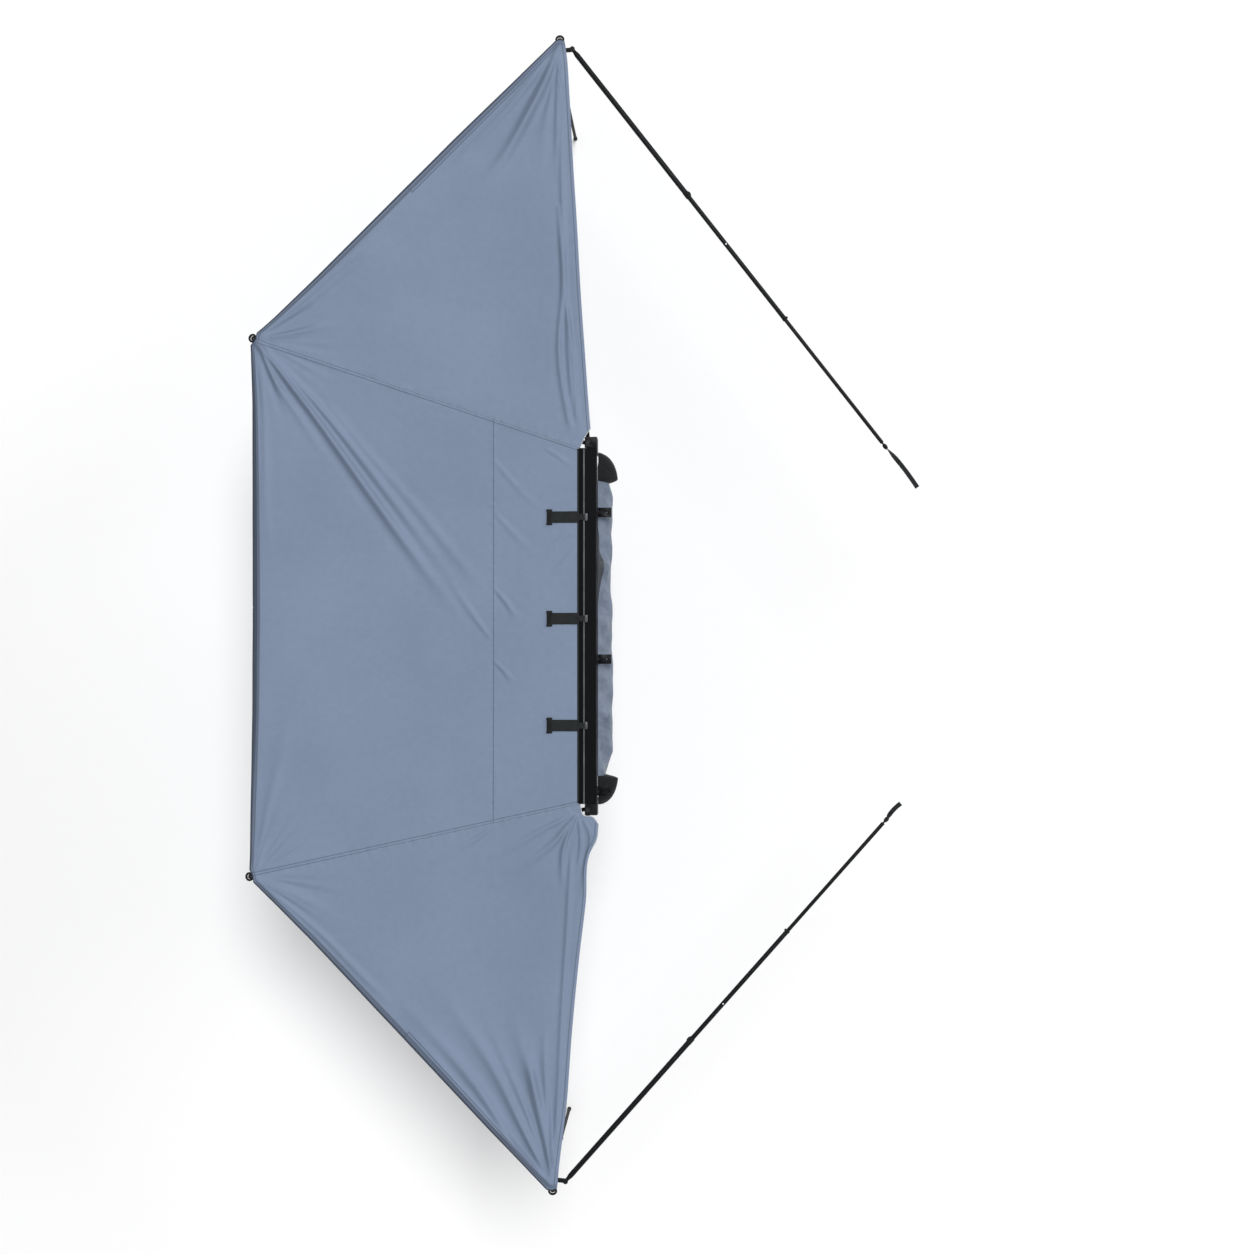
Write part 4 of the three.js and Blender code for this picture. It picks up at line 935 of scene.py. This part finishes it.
def cloth_sheet(grid, thickness):
    """A closed thin sheet from a grid of points: the grid moved half its thickness both ways along the
    normals, which are the cross products of its two directions, and joined round its edges."""
    rows, columns = grid.shape[:2]
    normal = normals_of(grid)
    normal /= np.maximum(np.linalg.norm(normal, axis=-1, keepdims=True), 1e-12)
    points = np.vstack([(grid + side * normal * thickness / 2).reshape(-1, 3) for side in (1, -1)])
    number = np.arange(rows * columns).reshape(rows, columns)
    corners = [number[:-1, :-1], number[1:, :-1], number[1:, 1:], number[:-1, 1:]]
    top = np.stack(corners, axis=-1).reshape(-1, 4)
    bottom = top[:, ::-1] + rows * columns
    rim = np.concatenate([number[:-1, 0], number[-1, :-1], number[:0:-1, -1], number[0, :0:-1]])
    after = np.roll(rim, -1)
    edge = np.stack([rim, rim + rows * columns, after + rows * columns, after], axis=-1)
    return outward(points, np.vstack([top, bottom, edge]).tolist())


def above_arms(points):
    """Lifts cloth that would lie in an arm to just over the arm's top."""
    for name, row in arms.items():
        turn = math.radians(row["angle"])
        x, y = points[..., 0] - hub_x, points[..., 1] - row["side"] * half_hubs
        along = x * math.cos(turn) + y * math.sin(turn)
        beside = np.abs(-x * math.sin(turn) + y * math.cos(turn))
        at_fitting = along > row["length"] - tip_length - 0.004
        over = row["height"] + np.where(at_fitting, 0.0134, arm_height / 2) + 0.0009
        over += np.where((along > 1.550) & (along < 1.600) & name.endswith("wing"), 0.0026, 0.0)
        under = (along > 0.0) & (along < row["length"] - 0.030) & (beside < 0.0135)
        points[..., 2] = np.where(under, np.maximum(points[..., 2], over), points[..., 2])
    return points


corner_of = {name: cloth_corner(name) for name in arms}
front_start = np.array(main_seam_start)
rear_start = front_start * (1, -1, 1)
front_hem = [(-0.0300, 1.0300, 0.0722), (-0.0390, 1.1500, 0.0712), (-0.0565, 1.4000, 0.0700),
             (-0.0810, 1.7500, 0.0690), (-0.1000, 2.1000, 0.0672), (-0.1220, 2.4500, 0.0655),
             (-0.1400, 2.7900, 0.0640), corner_of["front_wing"] + (0.036, -0.070, -0.001),
             corner_of["front_wing"] + (0.025, 0.008, 0.0)]
rear_hem = [(0.0120, -1.0350, 0.0760), (0.0030, -1.1100, 0.0740), (-0.0330, -1.1850, 0.0700),
            (-0.0540, -1.4300, 0.0640), (-0.0910, -1.7420, 0.0560), (-0.1280, -2.1200, 0.0470),
            (-0.1570, -2.5000, 0.0390), corner_of["rear_wing"] + (0.033, 0.110, 0.001),
            corner_of["rear_wing"] + (0.022, -0.006, 0.0)]
front_hub_edge = [front_hem[0], (-0.0580, 0.9900, 0.0740), front_start + (0, gap, 0)]
rear_hub_edge = [rear_hem[0], (-0.0200, -0.9960, 0.0780), (-0.0660, -0.9880, 0.0760),
                 rear_start - (0, gap, 0)]
front_cut = [(0.0, 0.0), (0.006, 0.025), (0.014, 0.034), (0.35, 0.033), (0.80, 0.014), (0.93, 0.013),
             (0.99, 0.019), (1.0, 0.0)]
rear_cut = [(0.0, 0.0), (0.006, 0.025), (0.014, 0.042), (0.20, 0.040), (0.80, 0.015), (0.99, 0.020),
            (1.0, 0.0)]
centre_cut = [(0.0, 0.0), (0.012, 0.026), (0.12, 0.016), (0.50, 0.009), (0.70, 0.008), (0.988, 0.016),
              (1.0, 0.0)]
front_end, rear_end = corner_of["front_main"], corner_of["rear_main"]
panels = {
    "front_wing": patch(curve(front_hub_edge), hemmed(front_hem[-1], front_end + (0, gap, 0), 1, front_cut),
                        curve(front_hem), straight(front_start + (0, gap, 0), front_end + (0, gap, 0))),
    "rear_wing": patch(curve(rear_hub_edge), hemmed(rear_hem[-1], rear_end - (0, gap, 0), -1, rear_cut),
                       curve(rear_hem), straight(rear_start - (0, gap, 0), rear_end - (0, gap, 0))),
    "centre": patch(straight(front_start, rear_start), hemmed(front_end, rear_end, 1, centre_cut),
                    straight(front_start, front_end), straight(rear_start, rear_end)),
}
folds_of = {"front_wing": front_wing_folds, "rear_wing": rear_wing_folds, "centre": centre_folds}
front_seam = [front_start, corner_of["front_main"]]
rear_seam = [rear_start, corner_of["rear_main"]]
seams_of = {"front_wing": [front_seam], "rear_wing": [rear_seam], "centre": [front_seam, rear_seam]}


def hem_width(panel, v):
    """The hem is turned down most in the middle of its run: a sine bow of its width, which is larger on the
    centre panel."""
    return 0.013 + (0.022 if panel == "centre" else 0.011) * np.sin(math.pi * np.clip(v, 0, 1)) ** 0.7


def rim_of(panel, count):
    """A path along the panel's outer hem."""
    return panels[panel](np.ones(count), np.linspace(0, 1, count))


def cloth_at(panel, u, v):
    """The cloth's surface: the patch, its sag between the arms, the folds, the puckers and the turned hem.
    All but the puckers dies away at a seam, so that the panels on both sides of it meet."""
    points = panels[panel](u, v)
    calm, lift = np.ones(u.shape), np.zeros(u.shape)
    for seam in seams_of[panel]:
        far, along = distance_to(points, seam)
        calm *= smooth(far, 0.003, 0.032)
        lift += (0.0006 + puckers(along, 1.3 if seam is front_seam else 2.1)) * np.exp(-(far / 0.022) ** 2)
    relief = folds_height(points, folds_of[panel]) + slack(points, 7, 0.0011, (0.18, 0.55))
    for seed, corner in enumerate(corner_of.values(), 3):
        relief += pleats(points, corner, seed)
    near_rail = 1.0
    if panel == "centre":
        near_rail = smooth(main_seam_start[0] - points[..., 0], 0.0, 0.06)
        strip = np.abs(points[..., 0] - strip_seam_x)
        lift += np.where(strip < 0.05, puckers(points[..., 1], 3.3) * 0.8 * np.exp(-(strip / 0.014) ** 2), 0)
        relief *= 0.45 + 0.55 * smooth(strip, 0.0, 0.020)
    sag = cloth_sag * (np.sin(math.pi * u) * np.sin(math.pi * v)) ** 2
    width = hem_width(panel, v)
    turned_down = 0.42 * width * (1 - smooth(distance_to(points, rim_of(panel, 60))[0] / width, 0.0, 1.05))
    turned_down *= smooth(np.minimum(v, 1 - v), 0.0, 0.03)
    points[..., 2] += calm * near_rail * relief + lift * near_rail - sag - turned_down
    return above_arms(points)


def add_panel(name, panel, seam, node, low, high, rows, columns):
    """A part of a panel from one share of its width to another, and its grid. Its maps give the weave, the
    distances from the seam, hem and side, and how far the cloth leans from the level, from which its finish
    paints shade on the folds. A wing's seam isn't drawn, so its distances start at 1 m."""
    u, v = np.meshgrid(np.linspace(0, 1, rows), np.linspace(low, high, columns), indexing="ij")
    grid = cloth_at(panel, u, v)
    normal = normals_of(grid)
    lean = np.hypot(normal[..., 0], normal[..., 1]) / np.maximum(np.abs(normal[..., 2]), 1e-12)
    seam_map = np.stack(distance_to(grid, seam), axis=-1)
    hem_map = np.stack(distance_to(grid, rim_of(panel, 200)), axis=-1)
    hem_map[..., 0] *= hem_row / hem_width(panel, v)
    if panel == "centre":
        hem_map[..., 1] += centre_mark
        side_map = np.stack([np.maximum(strip_seam_x + 0.0185 - grid[..., 0], -0.02), grid[..., 1]], axis=-1)
    else:
        side = panels[panel](np.linspace(0, 1, 200), np.zeros(200))
        side_map = np.stack(distance_to(grid, side), axis=-1)
        seam_map[..., 0] += 1.0
    maps = {"weave": grid[..., :2], "seam": seam_map, "hem": hem_map, "side": side_map,
            "lean": np.stack([lean, lean], axis=-1)}
    maps = {key: np.tile(value.reshape(-1, 2), (2, 1)) for key, value in maps.items()}
    sheet = cloth_sheet(grid, cloth_thickness)
    return piece(name, sheet, canopy_cloth, None, [node], 60.0, maps), grid


def bend(made, end, part):
    """Bakes a piece's place into its mesh. The two bodies it lies between, a wing's the two arms and a
    centre's the case and the main arm, are named but not used.
    """
    main = f"{end}_main_arm"
    first, second = ("case", main) if part == "centre" else (main, f"{end}_wing_arm")
    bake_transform(made)


grids = {}
for end, seam, low in (("front", front_seam, 0.0), ("rear", rear_seam, 0.5)):
    wing, grid = add_panel(f"{end}_wing_cloth", f"{end}_wing", seam, f"canopy_{end}_wing", 0.0, 1.0, 200, 190)
    bend(wing, end, "wing")
    grids[f"{end}_wing"] = grid
    half, grid = add_panel(f"{end}_centre_cloth", "centre", seam, f"canopy_centre_{end}", low, low + 0.5,
                           230, 206)
    bend(half, end, "centre")
    grids[f"{end}_centre"] = grid

# The outer hems are bound with a dark tape round a thin cord, and the wings' edges at the hubs with a pale
# one. A short black webbing tab ties each corner to its eyelet.
binding_radius, tape_radius = 0.0026, 0.0021
binding = spotted("dark hem binding", (12.0, 4.0), (0.018, 0.022, 0.030, 1), (0.045, 0.054, 0.074, 1),
                  (0.66, 0.16), ((300.0, 2.0), 0.4, 0.0004), Specular_IOR_Level=0.3, Sheen_Weight=0.1)
pale_tape = spotted("pale edge tape", (70.0, 4.0), (0.42, 0.45, 0.49, 1), (0.62, 0.65, 0.68, 1), (0.60, 0.2),
                    Specular_IOR_Level=0.3)


def corded(path, radius):
    """A round cord along a path, drawn in to half its width at both ends."""
    widths = np.full(len(path), radius)
    widths[[0, -1]] = radius / 2
    return carried(path, widths, widths)


for end, side in ends.items():
    wing, half = grids[f"{end}_wing"], grids[f"{end}_centre"]
    cord = corded(wing[-1, 2:-2] - (0, 0, 0.0008), binding_radius)
    bend(piece(f"{end}_wing_binding", cord, binding), end, "wing")
    edge = np.vstack([wing[0, ::-1], wing[1:16, 0]])
    cord = corded(edge[4:], tape_radius)
    bend(piece(f"{end}_wing_edge_tape", cord, pale_tape), end, "wing")
    rim = half[-1, 2:] if side > 0 else half[-1, :-2]
    cord = corded(rim - (0, 0, 0.0008), binding_radius)
    bend(piece(f"{end}_centre_binding", cord, binding), end, "centre")

for name, arm in arms.items():
    share = np.linspace(0, 1, 22)
    path = np.stack([0.019 * share - 0.031, 0 * share, 0.0113 - 0.0043 * smooth(share, 0.0, 0.75)], axis=-1)
    tab, weave = ribbon(path, 0.020, 0.0014)
    piece(f"{name}_corner_tab", on_arm(tab, name, arm["length"]), webbing, arm["end"],
          maps={"weave": weave})

# The canopy's edge is a corded welt held in the case's rail. Black tape is sewn over the cloth beside it, and
# a pale metal strip on the rail's outer lip is a painted highlight, a thin pale line along the case.
rail_reach = 0.926
pale_metal_and_lip_highlight, thread = finish_of("pale aluminium and painted lip highlight", Metallic=0.5, Specular_IOR_Level=0.3)
lines = flecks(thread, 1.0, 3.0, (700.0, 5.0, 700.0))
wear = flecks(thread, 16.0, 4.0)
shown = (lines * 0.4 + wear * 0.6).between(0.3, 0.7)
colour = shown.blend((0.040, 0.044, 0.049, 1), (0.105, 0.111, 0.119, 1))
dress(colour, 0.40 + wear * 0.2, bumped(thread, lines, 0.3, 0.0002))


def cloth_height(x, y):
    """The height of the centre cloth at places seen from above: u is the share of the way out to the hem, and
    v the share of the way from the front seam to the rear one."""
    front, rear = corner_of["front_main"], corner_of["rear_main"]
    u = np.clip((front_start[0] - x) / (front_start[0] - (front[0] + rear[0]) / 2), 0, 1)
    front_y = front_start[1] + u * (front[1] - front_start[1])
    rear_y = rear_start[1] + u * (rear[1] - rear_start[1])
    return cloth_at("centre", u, (front_y - y) / (front_y - rear_y))[..., 2]


along_rail = np.linspace(-rail_reach, rail_reach, 240)
rail_path = np.stack([0 * along_rail - roof_reach, along_rail, 0 * along_rail + rail_height], axis=-1)
piece("rail_welt", corded(rail_path, 0.0030), binding, "case")
# Painted highlight on the rail's lip: a thin strip of pale metal. The buckles share this plain pale metal.
lip = ribbon(rail_path + (0.0200, 0, -0.0008), 0.0068, 0.0016)[0]
piece("rail_lip_highlight", lip, pale_metal_and_lip_highlight, "case")
tape_path = rail_path - (0.0075, 0, 0)
tape_path[:, 2] = cloth_height(tape_path[:, 0], along_rail) + 0.0012
tape, weave = ribbon(tape_path, 0.0150, 0.0010)
piece("rail_tape", tape, webbing, "case", maps={"weave": weave})

# Three straps of wide black webbing tie the rolled canopy. Each lies on the cloth, from a small buckle on the
# case to a moulded keeper at its end.
strap_shares = {"front": 0.611, "middle": 0.04, "rear": -0.56}
strap_length, strap_width, keeper_reach = 0.140, 0.060, 0.0160
rail_front, roof = -roof_reach - rail_radius, case_height / 2

for end, share in strap_shares.items():
    y = share * case_length / 2
    run = np.linspace(0, strap_length, 60)
    over = np.linspace(-strap_width / 2, strap_width / 2, 15)
    x = rail_front - gap - run * (1 + 0.012 / strap_length)
    across = np.meshgrid(x, y + over, indexing="ij")
    top = cloth_height(*across) + 0.0030
    crown = 0.0010 * np.cos(over / strap_width * math.pi)[None] + 0.0008 * np.sin(run * 70)[:, None]
    shape = cloth_sheet(np.stack([across[0], across[1], top + crown], axis=-1), 0.0018)
    weave = np.tile(np.stack(np.meshgrid(run, over, indexing="ij"), axis=-1).reshape(-1, 2), (2, 1))
    piece(f"{end}_tie_webbing", shape, webbing, "case", [f"tie_strap_{end}"], 50.0,
          {"weave": weave})
    middle = rail_front - 0.0006 - strap_length - keeper_reach
    level = float(cloth_height(np.array([middle]), np.array([y]))[0]) + 0.0046
    half = [(0.0290, 0.0030, 0.0135), (0.0320, 0.0036, 0.0160), (0.0410, 0.0030, 0.0155)]
    parts = [solid([(-out, *sizes) for out, *sizes in half[::-1]] + half, 0.002, "y", 48, 6.0)]
    for place in -0.008 + 0.004 * np.arange(5):
        parts.append(moved(bar(0.0011, -0.0240, 0.0240, 0.0006, "y", 12), place, 0, 0.0031))
    piece(f"{end}_tie_keeper", moved(joined(*parts), middle, y, level), moulded, "case",
          [f"strap_keeper_{end}"])
    half = [(0.0060, 0.0042, 0.0075), (0.0190, 0.0030, 0.0068)]
    parts = [solid([(-out, *sizes) for out, *sizes in half[::-1]] + half, 0.002, "y", 40, 4.0)]
    for place in -0.009 + 0.006 * np.arange(4):
        parts.append(moved(bar(0.0012, -0.0050, 0.0050, 0.0006, "x", 12), 0, place, 0.0036))
    piece(f"{end}_tie_buckle", moved(joined(*parts), -0.052, y, roof + 0.0048), pale_metal_and_lip_highlight, "case")
    reach = np.linspace(0, 1, 16)
    loop_path = np.stack([-0.0560 - 0.0360 * reach, 0 * reach + y,
                          roof + 0.0054 + 0.0044 * np.sin(math.pi * reach * 0.62)], axis=-1)
    loop, weave = ribbon(loop_path, 0.030, 0.0016)
    piece(f"{end}_tie_loop", loop, webbing, "case", maps={"weave": weave})

# The storage cover is a long bag of grey coated cloth that holds the rolled awning. It is empty here and
# hangs open behind the case, creased, with piped edges. Its black ends are rounded.
cover_fall, cover_rest, cover_rows = 0.190, 0.009, 60
bulge_places = (0.0, 0.05, 0.14, 0.30, 0.49, 0.72, 0.92, 0.975, 1.0)
bulge_depths = (0.050, 0.068, 0.068, 0.060, 0.066, 0.070, 0.066, 0.044, 0.030)
cover_end_length, cover_end_bulge, cover_shift, cover_lap = 0.150, 0.098, -0.010, 0.008
case_clearance, piping_radius = 0.0013, 0.0024
cover_front = cover_shift + case_length / 2 - cover_end_length
cover_rear = cover_shift - case_length / 2 + cover_end_length


def coated(name, dark, light, dull, gloss, shade_peaks=()):
    """A creased coated cloth: its colour goes between two, and fine weave and soft creases bend its surface.
    Painted shade darkens its top edge in peaks at the given places along it."""
    made, thread = finish_of(name, Specular_IOR_Level=gloss)
    place, run, fall = map_of(thread, "weave")
    cloud = noise(thread, place, 5.0, 5.0, 0.6)
    crease = noise(thread, place, 22.0, 4.0, 0.6)
    base = (cloud * 0.6 + crease * 0.4).between(0.32, 0.68).blend(dark, light)
    # Painted shade along the top edge, in peaks at the given places.
    for peak in shade_peaks:
        shown = run.line_at(peak, 0.02, 0.24) * 0.018
        base = ((shown - fall).between(-0.0008, 0.0008) * 0.9).blend(base, (0.012, 0.014, 0.020, 1))
    threads = bumped(thread, run.wave(4200.0) * fall.wave(4200.0), 0.3, 0.00015)
    dress(base, dull + cloud * 0.14, bumped(thread, crease, 0.5, 0.006, threads))
    return made


# The grey cover gets painted shade peaks along its top edge at 0.45 m and 1.75 m.
grey_cloth = coated("grey coated cloth", (0.098, 0.124, 0.172, 1), (0.168, 0.208, 0.280, 1), 0.42, 0.35,
                    (0.45, 1.75))
black_cloth = coated("black coated cloth", (0.0050, 0.0054, 0.0062, 1), (0.0120, 0.0128, 0.0145, 1),
                     0.56, 0.10)


def bag_side(u, v, first, last, top, bulge, seed, depth):
    """The cover's side: at share u along and v down, it stands out by its bulge times a power of the sine of
    v. Flat creased facets are added: triangle waves in six directions."""
    length = last - first
    out = bulge * np.sin(math.pi * v * 0.8) ** 0.8
    random = np.random.RandomState(seed)
    crease = np.zeros(u.shape)
    for number in range(6):
        turn, shift = random.uniform(0.25, math.pi - 0.25), random.uniform()
        spacing = random.uniform(0.10, 0.30)
        phase = (u * abs(length) * math.cos(turn) + v * cover_fall * math.sin(turn)) / spacing + shift
        crease += (4 * np.abs(phase % 1 - 0.5) - 1) * spacing / 0.18
    crease = np.clip(crease / 2.4, -1.3, 1.3)
    hold = smooth(v, 0.0, 0.14)
    x = case_clearance + out + cover_rest * v + depth * crease * hold * (1 - 0.75 * smooth(v, 0.20, 0.50))
    z = top - cover_fall * v + 0.8 * depth * crease * hold
    return np.stack([x, first + u * length, z], axis=-1)


def add_bag(name, node, first, last, bulge, material, seed, depth, columns, sewn_to=None):
    """One side of the cover as a sheet that replaces its solid, and its grid. bulge is a function of the
    share along it. Where it is sewn to the edge of another, its first part turns in to that edge, and its top
    passes behind the hub bracket."""
    u, v = np.meshgrid(np.linspace(0, 1, columns), np.linspace(0, 1, cover_rows), indexing="ij")
    grid = bag_side(u, v, first, last, cover_lap - roof, bulge(u), seed, depth)
    grid[..., 0] = np.maximum(grid[..., 0], case_clearance)
    if sewn_to is not None:
        share = smooth(u, 0.0, 0.12)[..., None]
        grid = sewn_to[None] * (1 - share) + grid * share
        grid[..., 0] = np.maximum(grid[..., 0], case_clearance + 0.0042 * smooth(u, 0.45, 0.70))
    weave = np.stack([u * abs(last - first), v * cover_fall], axis=-1).reshape(-1, 2)
    sheet = cloth_sheet(grid, 0.0012)
    return piece(name, sheet, material, "case", [node], 60.0, {"weave": np.tile(weave, (2, 1))}), grid


def slack_bulge(u):
    return np.interp(u, bulge_places, bulge_depths)


def cap_bulge(u):
    """The black end's outline from above: a quarter of an ellipse."""
    return cover_end_bulge * np.sqrt(1 - (u * 0.97) ** 2)


bag, grid = add_bag("open_cover", "storage_cover", cover_front, cover_rear, slack_bulge, grey_cloth,
                    11, 0.0150, 420)
for number, edge in enumerate((grid[:, -1], grid[:, 0])):
    piece(f"open_cover_piping_{number + 1}", corded(edge, piping_radius), binding, "case")
cover_edges = {"front": grid[0], "rear": grid[-1]}
for end, start, seed in (("front", cover_front, 23), ("rear", cover_rear, 29)):
    side = ends[end]
    bag, grid = add_bag(f"{end}_cover_cap", f"cover_end_{end}", start + side * gap,
                        start + side * cover_end_length, cap_bulge, black_cloth, seed, 0.0022,
                        90, cover_edges[end])
    piece(f"{end}_cover_cap_piping", corded(grid[:, -1], piping_radius), binding, "case")
